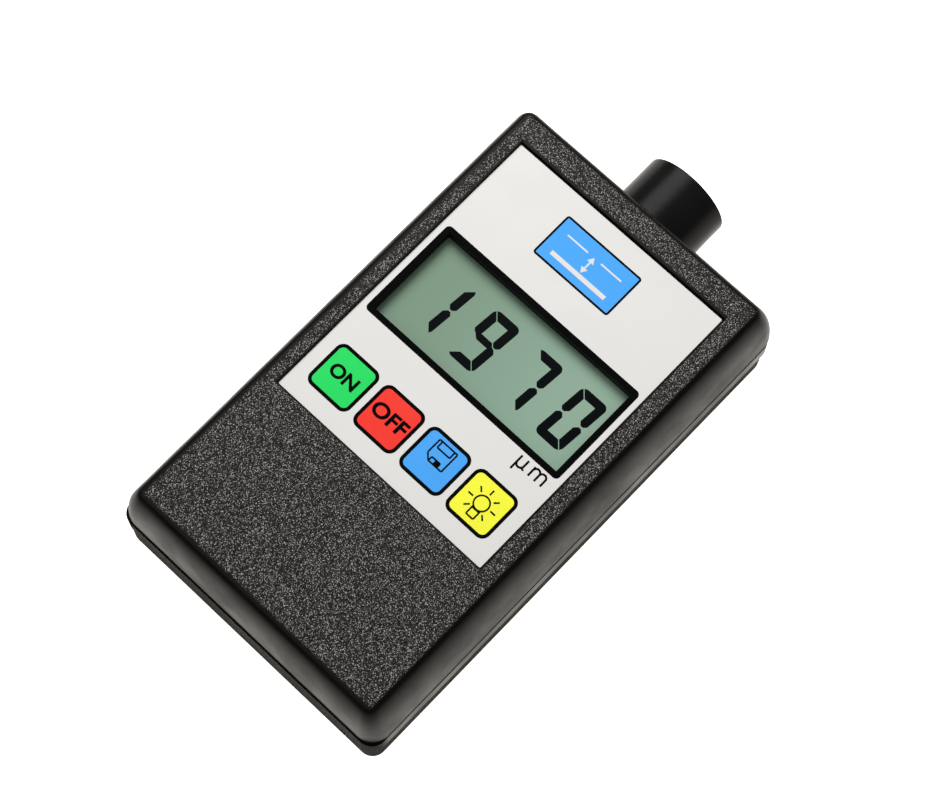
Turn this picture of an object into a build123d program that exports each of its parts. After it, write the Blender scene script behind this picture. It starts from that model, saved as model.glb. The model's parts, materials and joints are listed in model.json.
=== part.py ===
# Handheld coating thickness gauge: a two-part plastic case with a display, four keys, a round probe
# on its end wall and a battery behind a sliding door.
# Millimetres. +Z points out of the display side, +Y towards the probe, and X runs across the case.
# The origin is under the middle of the whole object, on the face it lies on.
from build123d import *
import os
from math import asin, cos, radians, sin, tan

os.makedirs("parts", exist_ok=True)

# Case outside
total_length = 117.8
case_width = 64.1
case_height = 25.4
seam_height = 11.6
front_length = 107.9
rear_length = 107.55
rear_proud = 0.55
front_foot_lean = 3.0
front_crown_radius = 40.0
front_wall_steps = 4
front_corner = 3.8
front_corner_shrink = 0.6
front_top_round = 1.5
cavity_draft = 11.0
rear_side_proud = 0.1
rear_band = 4.0
rear_band_step = 0.3
rear_side_taper = 0.15
rear_tail_step = 0.05
rear_tail_taper = 0.1
rear_nose_taper = 0.55
rear_corner = 3.0
rear_bottom_corner = 2.8
rear_bottom_round = 1.0
wall = 2.0
seam_gap = 0.2

tail_y = -total_length / 2
nose_y = total_length / 2
front_tail_y = tail_y + rear_proud
front_nose_y = front_tail_y + front_length
rear_nose_y = tail_y + rear_length
front_rise = case_height - seam_height
cavity_slope = tan(radians(cavity_draft))
front_half = case_width / 2
rear_half = front_half + rear_side_proud
crease_height = seam_height - rear_band
roof_height = case_height - wall

# Tongue that stands on the rear shell's rim, and the rebate it enters in the front shell
tongue_half = 31.05
tongue_tail_y = -57.45
tongue_nose_y = 47.95
tongue_inner_half = 30.1
tongue_inner_tail_y = -56.7
tongue_inner_nose_y = 47.1
tongue_rise = 1.2
tongue_corner = 2.6
tongue_inner_corner = 1.4
tongue_gap = 0.1

# Face: recess, printed faceplate, display window and keys
plate_width = 50.0
plate_length = 63.9
plate_thick = 0.25
plate_y = 8.35
recess_side_gap = 0.5
recess_end_gap = 0.6
recess_depth = 0.75
recess_shift_x = 0.12
recess_shift_y = 0.05
window_width = 45.5
window_height = 19.9
window_y = plate_y + 0.2
window_corner = 0.6
window_rim = 1.2
key_pitch = 11.4
key_y = plate_y - 23.2
key_hole_radius = 4.0
key_names = ("on", "off", "calibrate", "light")
key_columns = [(column - 1.5) * key_pitch for column in range(len(key_names))]

recess_floor = case_height - recess_depth
plate_top = recess_floor + plate_thick

# Display, backlight and board, stacked below the window
display_drop = 2.5
display_width = 50.8
display_length = 30.5
display_front_length = 26.4
display_thick = 2.8
rim_gap = 0.1
pin_pitch = 2.54
pins_in_row = 20
pin_row_spacing = 27.94
pin_width = 0.5
pin_depth = 0.25
pin_hole_radius = 0.45
pin_below_board = 1.2
board_top = 15.5
board_thick = 1.6
board_width = 56.0
board_tail_y = -18.9
board_nose_y = 33.0
board_corner = 1.5
backlight_width = 48.0
backlight_length = 23.6
backlight_thick = 3.8
backlight_edge = 0.4

display_top = plate_top - display_drop
display_bottom = display_top - display_thick
board_bottom = board_top - board_thick
board_y = (board_tail_y + board_nose_y) / 2

# Push switches
switch_size = 6.2
switch_height = 3.5
switch_leg_x = 2.9
switch_leg_y = 2.25
switch_leg_width = 0.7
switch_leg_thick = 0.3
switch_leg_below = 1.5
switch_leg_hole = 0.5
plunger_radius = 1.75
plunger_fit = 0.05
plunger_foot_radius = 2.3
plunger_foot_thick = 0.6
plunger_foot_gap = 0.2
plunger_film_gap = 0.1
switch_roof = 0.8
switch_room_radius = 2.6
switch_room_height = 1.9
plunger_top_round = 0.3

# Screws, bosses and pillars
case_screw_x = 26.2
case_screw_nose_y = 42.0
case_screw_tail_y = -22.5
board_screw_x = 25.0
board_screw_nose_y = 29.8
board_screw_tail_y = -15.9
front_boss_radius = 3.25
rear_boss_radius = 4.0
case_screw_radius = 1.45
case_screw_hole = 1.7
case_screw_end = 18.0
case_head_radius = 2.8
case_head_thick = 2.0
counterbore_radius = 3.2
counterbore_depth = 6.0
board_boss_radius = 2.6
board_screw_radius = 1.1
board_screw_hole = 1.25
board_screw_end = 20.5
board_head_radius = 2.0
board_head_thick = 1.4
pilot_spare = 0.8
slot_width = 0.8
slot_depth = 0.9
slot_length_share = 1.5

case_screw_places = [
    (side * case_screw_x, y) for side in (-1, 1) for y in (case_screw_tail_y, case_screw_nose_y)
]
board_screw_places = [
    (side * board_screw_x, y) for side in (-1, 1) for y in (board_screw_tail_y, board_screw_nose_y)
]

# Probe: turned sleeve with its sensor inside
probe_x = 0.9
probe_z = seam_height
sleeve_radius = 9.0
sleeve_inner_y = 40.0
sleeve_bore_radius = 6.5
sleeve_face_thick = 2.0
sleeve_rim_chamfer = 0.3
dish_radius = 6.0
dish_depth = 0.6
sleeve_hole_gap = 0.1
groove_radius = 7.75
groove_low_y = 43.0
groove_high_y = 45.2
saddle_gap = 0.1
saddle_half = 12.0
core_radius = 2.5
core_fit = 0.05
core_back_y = 43.0
tip_rise = 0.7
former_back_y = 46.5
former_front_y = 56.6
former_flange_radius = 6.4
former_flange_thick = 0.8
former_hub_radius = 3.3
winding_radius = 5.9
plug_front_y = 42.9
probe_lead_spread = 1.8
probe_lead_drop = 3.6
probe_lead_radius = 0.55
probe_lead_end_y = 30.6
probe_lead_bend = 2.5
lead_hole_gap = 0.1

# Battery, its snap connector and bay
battery_length = 45.5
battery_width = 26.5
battery_thick = 17.5
battery_low_x = -27.5
battery_low_y = -54.3
battery_bottom = 3.0
battery_edge_round = 1.2
terminal_length = 2.8
terminal_spacing = 12.7
terminal_stud_radius = 2.9
terminal_crown_radius = 4.2
terminal_fit = 0.05
snap_gap = 0.3
snap_length = 24.0
snap_height = 12.4
snap_thick = 2.6
snap_corner = 3.0
battery_lead_radius = 0.6
battery_lead_straight = 2.9
battery_lead_end_y = -14.85
partition_low_y = -27.55
partition_high_y = -26.35
partition_low_x = -28.0
partition_high_x = 18.2
partition_top = 18.0

battery_high_x = battery_low_x + battery_length
battery_y = battery_low_y + battery_width / 2
battery_z = battery_bottom + battery_thick / 2
terminal_end_x = battery_high_x + terminal_length
snap_low_x = terminal_end_x + snap_gap

# Battery door and the rails it slides in
door_half = 23.0
door_inner_y = -29.25
door_gap = 0.25
door_end_half = 24.5
door_end_height = 3.6
door_end_thick = 1.8
tongue_reach = 1.05
door_tongue_low = 1.1
lip_height = 0.9
rail_inner_half = 23.4
rail_outer_half = 25.5
rail_low_z = 2.3
rail_low_y = -56.0
rail_high_y = -31.0
grip_count = 5
grip_pitch = 2.2
grip_width = 0.9
grip_depth = 0.5
grip_half = 9.0
grip_first_y = -52.0

# Small parts under the board
chip_size = 12.0
chip_thick = 1.6
chip_lead_count = 11
chip_lead_pitch = 0.95
chip_lead_width = 0.4
chip_lead_reach = 1.3
chip_lead_thick = 0.2
chip_place = (-3.0, 8.0)
crystal_place = (-16.0, 14.0)
crystal_length = 10.5
crystal_width = 4.2
crystal_thick = 3.4
regulator_place = (-17.0, 3.0)
regulator_length = 6.5
regulator_width = 3.5
regulator_thick = 1.6
regulator_tab_width = 3.0
regulator_tab_length = 1.6
regulator_tab_thick = 0.3
capacitor_places = [(9.5, 15.5), (16.5, 15.5)]
capacitor_radius = 2.5
capacitor_height = 7.0
capacitor_groove_height = 1.6
capacitor_groove_depth = 0.25
buzzer_place = (14.0, 3.0)
buzzer_radius = 6.0
buzzer_height = 6.5
buzzer_hole_radius = 1.0
buzzer_hole_depth = 1.5


def case_outline(half, low_y, high_y, corner, height):
    """Rounded rectangle across the case at one height."""
    with BuildSketch(Plane.XY.offset(height)) as outline:
        with Locations((0, (low_y + high_y) / 2)):
            RectangleRounded(2 * half, high_y - low_y, corner)
    return outline.sketch


def front_section(height):
    """Outline of the front shell at one height, where its crowned wall has leaned in."""
    foot = radians(front_foot_lean)
    lean = asin(sin(foot) + (height - seam_height) / front_crown_radius)
    inset = front_crown_radius * (cos(foot) - cos(lean))
    return case_outline(
        front_half - inset,
        front_tail_y + inset,
        front_nose_y - inset,
        front_corner - front_corner_shrink * inset,
        height,
    )


def block_outline(low_x, high_x, low_y, high_y, height):
    """Plain rectangle between four edges at one height."""
    with BuildSketch(Plane.XY.offset(height)) as outline:
        with Locations(((low_x + high_x) / 2, (low_y + high_y) / 2)):
            Rectangle(high_x - low_x, high_y - low_y)
    return outline.sketch


def probe_plane(y):
    """Plane across the probe's axis, facing its tip."""
    return Plane(origin=(probe_x, y, probe_z), x_dir=(1, 0, 0), z_dir=(0, 1, 0))


def lead_route(points):
    """Smooth centre line of a lead, each bend as wide as its two runs allow."""
    corners = [Vector(*point) for point in points]
    radii = []
    for before, corner, after in zip(corners, corners[1:], corners[2:]):
        turn = (corner - before).get_angle(after - corner)
        shorter = min((corner - before).length, (after - corner).length)
        radii.append(0.45 * shorter / tan(radians(turn / 2)))
    print("lead radii", [round(radius, 2) for radius in radii])
    with BuildLine() as route:
        FilletPolyline(*points, radius=radii)
    return route.line


# Front shell: crowned walls, rounded top edge, recess for the faceplate
roof_inset = wall + (roof_height - seam_height) * cavity_slope
wall_heights = [seam_height + front_rise * step / front_wall_steps for step in range(front_wall_steps + 1)]
seam_lift = seam_height + seam_gap
with BuildPart() as front_shell:
    loft(sections=[front_section(height) for height in wall_heights])
    fillet(front_shell.faces().sort_by(Axis.Z)[-1].edges(), radius=front_top_round)
    loft(
        sections=[
            case_outline(
                front_half - wall, front_tail_y + wall, front_nose_y - wall, front_corner - wall, seam_height
            ),
            case_outline(
                front_half - roof_inset,
                front_tail_y + roof_inset,
                front_nose_y - roof_inset,
                front_corner - wall,
                roof_height,
            ),
        ],
        ruled=True,
        mode=Mode.SUBTRACT,
    )
    # Rebate for the rear shell's tongue, and the shadow gap along the seam
    with BuildSketch(Plane.XY.offset(seam_height)) as rebate:
        add(
            case_outline(
                tongue_half + tongue_gap,
                tongue_tail_y - tongue_gap,
                tongue_nose_y + tongue_gap,
                tongue_corner + tongue_gap,
                0,
            )
        )
        add(
            case_outline(
                tongue_inner_half - tongue_gap,
                tongue_inner_tail_y + tongue_gap,
                tongue_inner_nose_y - tongue_gap,
                tongue_inner_corner,
                0,
            ),
            mode=Mode.SUBTRACT,
        )
    extrude(amount=tongue_rise + tongue_gap, mode=Mode.SUBTRACT)
    with BuildSketch(Plane.XY.offset(seam_height)) as shadow_gap:
        add(case_outline(front_half + wall, front_tail_y - wall, front_nose_y + wall, front_corner, 0))
        add(
            case_outline(tongue_half, tongue_tail_y, tongue_nose_y, tongue_corner, 0),
            mode=Mode.SUBTRACT,
        )
    extrude(amount=seam_gap, mode=Mode.SUBTRACT)
    # Recess for the faceplate
    with BuildSketch(Plane.XY.offset(recess_floor)) as recess:
        with Locations((recess_shift_x, plate_y + recess_shift_y)):
            Rectangle(plate_width + recess_side_gap, plate_length + recess_end_gap)
    extrude(amount=recess_depth, mode=Mode.SUBTRACT)
    # Rim that reaches down to the display, pillars for the board and bosses for the case screws
    with BuildSketch(Plane.XY.offset(display_top + rim_gap)) as window_rim_outline:
        with Locations((0, window_y)):
            Rectangle(window_width + 2 * window_rim, window_height + 2 * window_rim)
    extrude(amount=roof_height - display_top - rim_gap)
    with BuildSketch(Plane.XY.offset(board_top)) as board_bosses:
        with Locations(*board_screw_places):
            Circle(board_boss_radius)
    extrude(amount=roof_height - board_top)
    with BuildSketch(Plane.XY.offset(seam_height)) as case_bosses:
        with Locations(*case_screw_places):
            Circle(front_boss_radius)
    extrude(amount=roof_height - seam_height)
    # Saddle that grips the probe's groove
    with BuildSketch(Plane.XZ.offset(-groove_low_y - saddle_gap)) as saddle:
        with Locations((probe_x, (seam_height + roof_height) / 2)):
            Rectangle(2 * saddle_half, roof_height - seam_height)
    extrude(amount=-(groove_high_y - groove_low_y - 2 * saddle_gap))
    # Openings: window, keys, screw pilots, probe
    with BuildSketch(Plane.XY.offset(display_top)) as window_hole:
        with Locations((0, window_y)):
            RectangleRounded(window_width, window_height, window_corner)
    extrude(amount=case_height - display_top, mode=Mode.SUBTRACT)
    with BuildSketch(Plane.XY.offset(roof_height - wall)) as key_holes:
        with Locations(*[(x, key_y) for x in key_columns]):
            Circle(key_hole_radius)
    extrude(amount=2 * wall, mode=Mode.SUBTRACT)
    with BuildSketch(Plane.XY.offset(board_top)) as board_pilots:
        with Locations(*board_screw_places):
            Circle(board_screw_radius)
    extrude(amount=board_screw_end + pilot_spare - board_top, mode=Mode.SUBTRACT)
    with BuildSketch(Plane.XY.offset(seam_height)) as case_pilots:
        with Locations(*case_screw_places):
            Circle(case_screw_radius)
    extrude(amount=case_screw_end + pilot_spare - seam_height, mode=Mode.SUBTRACT)
    with BuildSketch(probe_plane(groove_high_y)) as front_probe_hole:
        Circle(sleeve_radius + sleeve_hole_gap)
    extrude(amount=nose_y - groove_high_y, mode=Mode.SUBTRACT)
    with BuildSketch(probe_plane(groove_low_y)) as front_saddle_hole:
        Circle(groove_radius + saddle_gap)
    extrude(amount=groove_high_y - groove_low_y, mode=Mode.SUBTRACT)
front_shell.part.label = "front_shell"
export_step(front_shell.part, "parts/front_shell.step")

# Rear shell: upright band under the seam, and a tapered tray set in a little below it
floor_top = wall
with BuildPart() as rear_body:
    loft(
        sections=[
            case_outline(rear_half, tail_y, rear_nose_y, rear_corner, crease_height),
            case_outline(rear_half, tail_y, rear_nose_y, rear_corner, seam_height),
        ],
        ruled=True,
    )
    loft(
        sections=[
            case_outline(
                rear_half - rear_band_step - rear_side_taper,
                tail_y + rear_tail_taper,
                rear_nose_y - rear_band_step - rear_nose_taper,
                rear_bottom_corner,
                0,
            ),
            case_outline(
                rear_half - rear_band_step,
                tail_y + rear_tail_step,
                rear_nose_y - rear_band_step,
                rear_corner,
                crease_height,
            ),
        ],
        ruled=True,
    )
    fillet(rear_body.faces().sort_by(Axis.Z)[0].edges(), radius=rear_bottom_round)

with BuildPart() as rear_shell:
    add(rear_body.part)
    loft(
        sections=[
            case_outline(
                rear_half - rear_band_step - rear_side_taper - wall,
                tail_y + rear_tail_taper + wall,
                rear_nose_y - rear_band_step - rear_nose_taper - wall,
                rear_bottom_corner - wall,
                floor_top,
            ),
            case_outline(
                rear_half - rear_band_step - wall,
                tail_y + wall,
                rear_nose_y - rear_band_step - wall,
                rear_corner - wall,
                seam_height,
            ),
        ],
        ruled=True,
        mode=Mode.SUBTRACT,
    )
    with BuildSketch(Plane.XY.offset(seam_height)) as tongue:
        add(case_outline(tongue_half, tongue_tail_y, tongue_nose_y, tongue_corner, 0))
        add(
            case_outline(
                tongue_inner_half, tongue_inner_tail_y, tongue_inner_nose_y, tongue_inner_corner, 0
            ),
            mode=Mode.SUBTRACT,
        )
    extrude(amount=tongue_rise)
    # Screw pillars, probe saddle, battery partition and door rails
    with BuildSketch(Plane.XY.offset(floor_top)) as rear_bosses:
        with Locations(*case_screw_places):
            Circle(rear_boss_radius)
    extrude(amount=seam_height - floor_top)
    with BuildSketch(Plane.XZ.offset(-groove_low_y - saddle_gap)) as rear_saddle:
        with Locations((probe_x, (floor_top + seam_height) / 2)):
            Rectangle(2 * saddle_half, seam_height - floor_top)
    extrude(amount=-(groove_high_y - groove_low_y - 2 * saddle_gap))
    extrude(
        block_outline(partition_low_x, partition_high_x, partition_low_y, partition_high_y, floor_top),
        amount=partition_top - floor_top,
    )
    for side in (-1, 1):
        rail_edges = sorted((side * rail_inner_half, side * rail_outer_half))
        extrude(
            block_outline(*rail_edges, rail_low_y, rail_high_y, floor_top),
            amount=battery_bottom - floor_top,
        )
    # Door opening: narrow below, wider above the lips and through the tail wall
    lip_half = door_half + door_gap
    slot_half = door_half + tongue_reach + door_gap
    door_edge_y = door_inner_y + door_gap
    extrude(
        block_outline(-lip_half, lip_half, tail_y - wall, door_edge_y, 0),
        amount=floor_top,
        mode=Mode.SUBTRACT,
    )
    extrude(
        block_outline(-slot_half, slot_half, tail_y - wall, door_edge_y, lip_height),
        amount=rail_low_z - lip_height,
        mode=Mode.SUBTRACT,
    )
    extrude(
        block_outline(
            -door_end_half - door_gap,
            door_end_half + door_gap,
            tail_y - wall,
            tail_y + door_end_thick + door_gap,
            0,
        ),
        amount=door_end_height + door_gap,
        mode=Mode.SUBTRACT,
    )
    # Screw holes with deep counterbores, and the probe's half hole
    with BuildSketch(Plane.XY) as screw_holes:
        with Locations(*case_screw_places):
            Circle(case_screw_hole)
    extrude(amount=seam_height, mode=Mode.SUBTRACT)
    with BuildSketch(Plane.XY) as counterbores:
        with Locations(*case_screw_places):
            Circle(counterbore_radius)
    extrude(amount=counterbore_depth, mode=Mode.SUBTRACT)
    with BuildSketch(probe_plane(groove_high_y)) as rear_probe_hole:
        Circle(sleeve_radius + sleeve_hole_gap)
    extrude(amount=nose_y - groove_high_y, mode=Mode.SUBTRACT)
    with BuildSketch(probe_plane(groove_low_y)) as rear_saddle_hole:
        Circle(groove_radius + saddle_gap)
    extrude(amount=groove_high_y - groove_low_y, mode=Mode.SUBTRACT)
rear_shell.part.label = "rear_shell"
export_step(rear_shell.part, "parts/rear_shell.step")

# Battery door: slides out of the tail, and continues the rear shell's outer form
with BuildPart() as door_plate:
    add(rear_body.part)
    extrude(
        block_outline(-door_half, door_half, tail_y, door_inner_y, 0),
        amount=floor_top,
        mode=Mode.INTERSECT,
    )
    with BuildSketch(Plane.XY.offset(door_tongue_low)) as door_tongues:
        for side in (-1, 1):
            low_x, high_x = sorted((side * door_half, side * (door_half + tongue_reach)))
            add(block_outline(low_x, high_x, tail_y + door_end_thick, door_inner_y, 0))
    extrude(amount=floor_top - door_tongue_low)
    with BuildSketch(Plane.XY) as door_grips:
        with Locations(*[(0, grip_first_y + row * grip_pitch) for row in range(grip_count)]):
            SlotOverall(2 * grip_half, grip_width)
    extrude(amount=grip_depth, mode=Mode.SUBTRACT)

with BuildPart() as door_end:
    add(rear_body.part)
    extrude(
        block_outline(-door_end_half, door_end_half, tail_y, tail_y + door_end_thick, 0),
        amount=door_end_height,
        mode=Mode.INTERSECT,
    )

with BuildPart() as battery_door:
    add(door_plate.part)
    add(door_end.part)
battery_door.part.label = "battery_door"
export_step(battery_door.part, "parts/battery_door.step")

# Printed faceplate film with its display window cut out
with BuildPart() as faceplate:
    with BuildSketch(Plane.XY.offset(recess_floor)) as plate_outline:
        with Locations((0, plate_y)):
            Rectangle(plate_width, plate_length)
            with Locations((0, window_y - plate_y)):
                RectangleRounded(window_width, window_height, window_corner, mode=Mode.SUBTRACT)
    extrude(amount=plate_thick)
faceplate.part.label = "faceplate"
export_step(faceplate.part, "parts/faceplate.step")

# Display: two bonded glass plates, the rear one longer to carry the pins
with BuildPart() as display_glass:
    with BuildSketch(Plane.XY.offset(display_bottom)) as rear_glass:
        with Locations((0, plate_y)):
            Rectangle(display_width, display_length)
    extrude(amount=display_thick / 2)
    with BuildSketch(Plane.XY.offset(display_bottom + display_thick / 2)) as front_glass:
        with Locations((0, plate_y)):
            Rectangle(display_width, display_front_length)
    extrude(amount=display_thick / 2)
display_glass.part.label = "display_glass"
export_step(display_glass.part, "parts/display_glass.step")

with BuildPart() as display_pins:
    with BuildSketch(Plane.XY.offset(board_bottom - pin_below_board)) as pin_outline:
        with Locations((0, plate_y)):
            with GridLocations(pin_pitch, pin_row_spacing, pins_in_row, 2):
                Rectangle(pin_width, pin_depth)
    extrude(amount=display_bottom - board_bottom + pin_below_board)
display_pins.part.label = "display_pins"
export_step(display_pins.part, "parts/display_pins.step")

with BuildPart() as backlight_panel:
    with BuildSketch(Plane.XY.offset(board_top)) as backlight_outline:
        with Locations((0, plate_y)):
            Rectangle(backlight_width, backlight_length)
    extrude(amount=backlight_thick)
    chamfer(backlight_panel.faces().sort_by(Axis.Z)[-1].edges(), length=backlight_edge)
backlight_panel.part.label = "backlight_panel"
export_step(backlight_panel.part, "parts/backlight_panel.step")

# Circuit board with its screw, pin and switch holes
switch_leg_places = [
    (x + side * switch_leg_x, key_y + end * switch_leg_y)
    for x in key_columns
    for side in (-1, 1)
    for end in (-1, 1)
]
with BuildPart() as circuit_board:
    with BuildSketch(Plane.XY.offset(board_bottom)) as board_outline:
        with Locations((0, board_y)):
            RectangleRounded(board_width, board_nose_y - board_tail_y, board_corner)
        with Locations(*board_screw_places):
            Circle(board_screw_hole, mode=Mode.SUBTRACT)
        with Locations(*switch_leg_places):
            Circle(switch_leg_hole, mode=Mode.SUBTRACT)
        with Locations((0, plate_y)):
            with GridLocations(pin_pitch, pin_row_spacing, pins_in_row, 2):
                Circle(pin_hole_radius, mode=Mode.SUBTRACT)
    extrude(amount=board_thick)
circuit_board.part.label = "circuit_board"
export_step(circuit_board.part, "parts/circuit_board.step")

# Four push switches: a body on the board, and a plunger that reaches up to the film
switch_top = board_top + switch_height
room_top = switch_top - switch_roof
plunger_top = recess_floor - plunger_film_gap
foot_top = room_top - plunger_foot_gap
for key_name, key_x in zip(key_names, key_columns):
    with BuildPart() as key_switch:
        with BuildSketch(Plane.XY.offset(board_top)) as switch_outline:
            with Locations((key_x, key_y)):
                Rectangle(switch_size, switch_size)
        extrude(amount=switch_height)
        with BuildSketch(Plane.XY.offset(room_top - switch_room_height)) as switch_room:
            with Locations((key_x, key_y)):
                Circle(switch_room_radius)
        extrude(amount=switch_room_height, mode=Mode.SUBTRACT)
        with BuildSketch(Plane.XY.offset(room_top)) as switch_hole:
            with Locations((key_x, key_y)):
                Circle(plunger_radius + plunger_fit)
        extrude(amount=switch_roof, mode=Mode.SUBTRACT)
        with BuildSketch(Plane.XY.offset(board_bottom - switch_leg_below)) as switch_legs:
            with Locations((key_x, key_y)):
                with GridLocations(2 * switch_leg_x, 2 * switch_leg_y, 2, 2):
                    Rectangle(switch_leg_width, switch_leg_thick)
        extrude(amount=board_thick + switch_leg_below)
    key_switch.part.label = f"{key_name}_switch"
    export_step(key_switch.part, f"parts/{key_name}_switch.step")

    with BuildPart() as key_plunger:
        with BuildSketch(Plane.XY.offset(foot_top - plunger_foot_thick)) as foot_outline:
            with Locations((key_x, key_y)):
                Circle(plunger_foot_radius)
        extrude(amount=plunger_foot_thick)
        with BuildSketch(Plane.XY.offset(foot_top)) as stem_outline:
            with Locations((key_x, key_y)):
                Circle(plunger_radius)
        extrude(amount=plunger_top - foot_top)
        fillet(key_plunger.faces().sort_by(Axis.Z)[-1].edges(), radius=plunger_top_round)
    key_plunger.part.label = f"{key_name}_plunger"
    export_step(key_plunger.part, f"parts/{key_name}_plunger.step")

# Small parts soldered under the board
with BuildPart() as controller_chip:
    with BuildSketch(Plane.XY.offset(board_bottom - chip_thick)) as chip_outline:
        with Locations(chip_place):
            Rectangle(chip_size, chip_size)
    extrude(amount=chip_thick)
    chamfer(controller_chip.faces().sort_by(Axis.Z)[0].edges(), length=chip_lead_thick)
    with BuildSketch(Plane.XY.offset(board_bottom - chip_lead_thick)) as chip_leads:
        with Locations(chip_place):
            with GridLocations(chip_lead_pitch, 1, chip_lead_count, 1):
                Rectangle(chip_lead_width, chip_size + 2 * chip_lead_reach)
            with GridLocations(1, chip_lead_pitch, 1, chip_lead_count):
                Rectangle(chip_size + 2 * chip_lead_reach, chip_lead_width)
    extrude(amount=chip_lead_thick)
controller_chip.part.label = "controller_chip"
export_step(controller_chip.part, "parts/controller_chip.step")

with BuildPart() as quartz_crystal:
    with BuildSketch(Plane.XY.offset(board_bottom - crystal_thick)) as crystal_outline:
        with Locations(crystal_place):
            SlotOverall(crystal_length, crystal_width)
    extrude(amount=crystal_thick)
quartz_crystal.part.label = "quartz_crystal"
export_step(quartz_crystal.part, "parts/quartz_crystal.step")

with BuildPart() as voltage_regulator:
    with BuildSketch(Plane.XY.offset(board_bottom - regulator_thick)) as regulator_outline:
        with Locations(regulator_place):
            Rectangle(regulator_length, regulator_width)
    extrude(amount=regulator_thick)
    with BuildSketch(Plane.XY.offset(board_bottom - regulator_tab_thick)) as regulator_tabs:
        with Locations(regulator_place):
            Rectangle(regulator_tab_width, regulator_width + 2 * regulator_tab_length)
    extrude(amount=regulator_tab_thick)
voltage_regulator.part.label = "voltage_regulator"
export_step(voltage_regulator.part, "parts/voltage_regulator.step")

with BuildPart() as filter_capacitors:
    with BuildSketch(Plane.XY.offset(board_bottom - capacitor_height)) as capacitor_cans:
        with Locations(*capacitor_places):
            Circle(capacitor_radius)
    extrude(amount=capacitor_height)
    with BuildSketch(Plane.XY.offset(board_bottom - capacitor_groove_height)) as capacitor_grooves:
        with Locations(*capacitor_places):
            Circle(capacitor_radius)
            Circle(capacitor_radius - capacitor_groove_depth, mode=Mode.SUBTRACT)
    extrude(amount=capacitor_groove_depth, mode=Mode.SUBTRACT)
filter_capacitors.part.label = "filter_capacitors"
export_step(filter_capacitors.part, "parts/filter_capacitors.step")

with BuildPart() as buzzer:
    with BuildSketch(Plane.XY.offset(board_bottom - buzzer_height)) as buzzer_can:
        with Locations(buzzer_place):
            Circle(buzzer_radius)
    extrude(amount=buzzer_height)
    with BuildSketch(Plane.XY.offset(board_bottom - buzzer_height)) as buzzer_hole:
        with Locations(buzzer_place):
            Circle(buzzer_hole_radius)
    extrude(amount=buzzer_hole_depth, mode=Mode.SUBTRACT)
buzzer.part.label = "buzzer"
export_step(buzzer.part, "parts/buzzer.step")

# Screws: four through the rear shell, four through the board
with BuildPart() as case_screws:
    with BuildSketch(Plane.XY.offset(counterbore_depth)) as case_shanks:
        with Locations(*case_screw_places):
            Circle(case_screw_radius)
    extrude(amount=case_screw_end - counterbore_depth)
    with BuildSketch(Plane.XY.offset(counterbore_depth - case_head_thick)) as case_heads:
        with Locations(*case_screw_places):
            Circle(case_head_radius)
    extrude(amount=case_head_thick)
    with BuildSketch(Plane.XY.offset(counterbore_depth - case_head_thick)) as case_slots:
        with Locations(*case_screw_places):
            Rectangle(slot_length_share * case_head_radius, slot_width)
            Rectangle(slot_width, slot_length_share * case_head_radius)
    extrude(amount=slot_depth, mode=Mode.SUBTRACT)
case_screws.part.label = "case_screws"
export_step(case_screws.part, "parts/case_screws.step")

with BuildPart() as board_screws:
    with BuildSketch(Plane.XY.offset(board_bottom)) as board_shanks:
        with Locations(*board_screw_places):
            Circle(board_screw_radius)
    extrude(amount=board_screw_end - board_bottom)
    with BuildSketch(Plane.XY.offset(board_bottom - board_head_thick)) as board_heads:
        with Locations(*board_screw_places):
            Circle(board_head_radius)
    extrude(amount=board_head_thick)
    with BuildSketch(Plane.XY.offset(board_bottom - board_head_thick)) as board_slots:
        with Locations(*board_screw_places):
            Rectangle(slot_length_share * board_head_radius, slot_width)
    extrude(amount=slot_depth, mode=Mode.SUBTRACT)
board_screws.part.label = "board_screws"
export_step(board_screws.part, "parts/board_screws.step")

# Probe sleeve: turned tube with a gripping groove and a dished end face
bore_depth = nose_y - sleeve_face_thick - sleeve_inner_y
with BuildPart() as probe_sleeve:
    with BuildSketch(probe_plane(sleeve_inner_y)) as sleeve_outline:
        Circle(sleeve_radius)
    extrude(amount=nose_y - sleeve_inner_y)
    chamfer(probe_sleeve.faces().sort_by(Axis.Y)[-1].edges(), length=sleeve_rim_chamfer)
    with BuildSketch(probe_plane(sleeve_inner_y)) as sleeve_bore:
        Circle(sleeve_bore_radius)
    extrude(amount=bore_depth, mode=Mode.SUBTRACT)
    with BuildSketch(probe_plane(nose_y - dish_depth)) as sleeve_dish:
        Circle(dish_radius)
    extrude(amount=dish_depth, mode=Mode.SUBTRACT)
    with BuildSketch(probe_plane(nose_y - sleeve_face_thick)) as tip_hole:
        Circle(core_radius + core_fit)
    extrude(amount=sleeve_face_thick, mode=Mode.SUBTRACT)
    with BuildSketch(probe_plane(groove_low_y)) as sleeve_groove:
        Circle(sleeve_radius)
        Circle(groove_radius, mode=Mode.SUBTRACT)
    extrude(amount=groove_high_y - groove_low_y, mode=Mode.SUBTRACT)
probe_sleeve.part.label = "probe_sleeve"
export_step(probe_sleeve.part, "parts/probe_sleeve.step")

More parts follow.
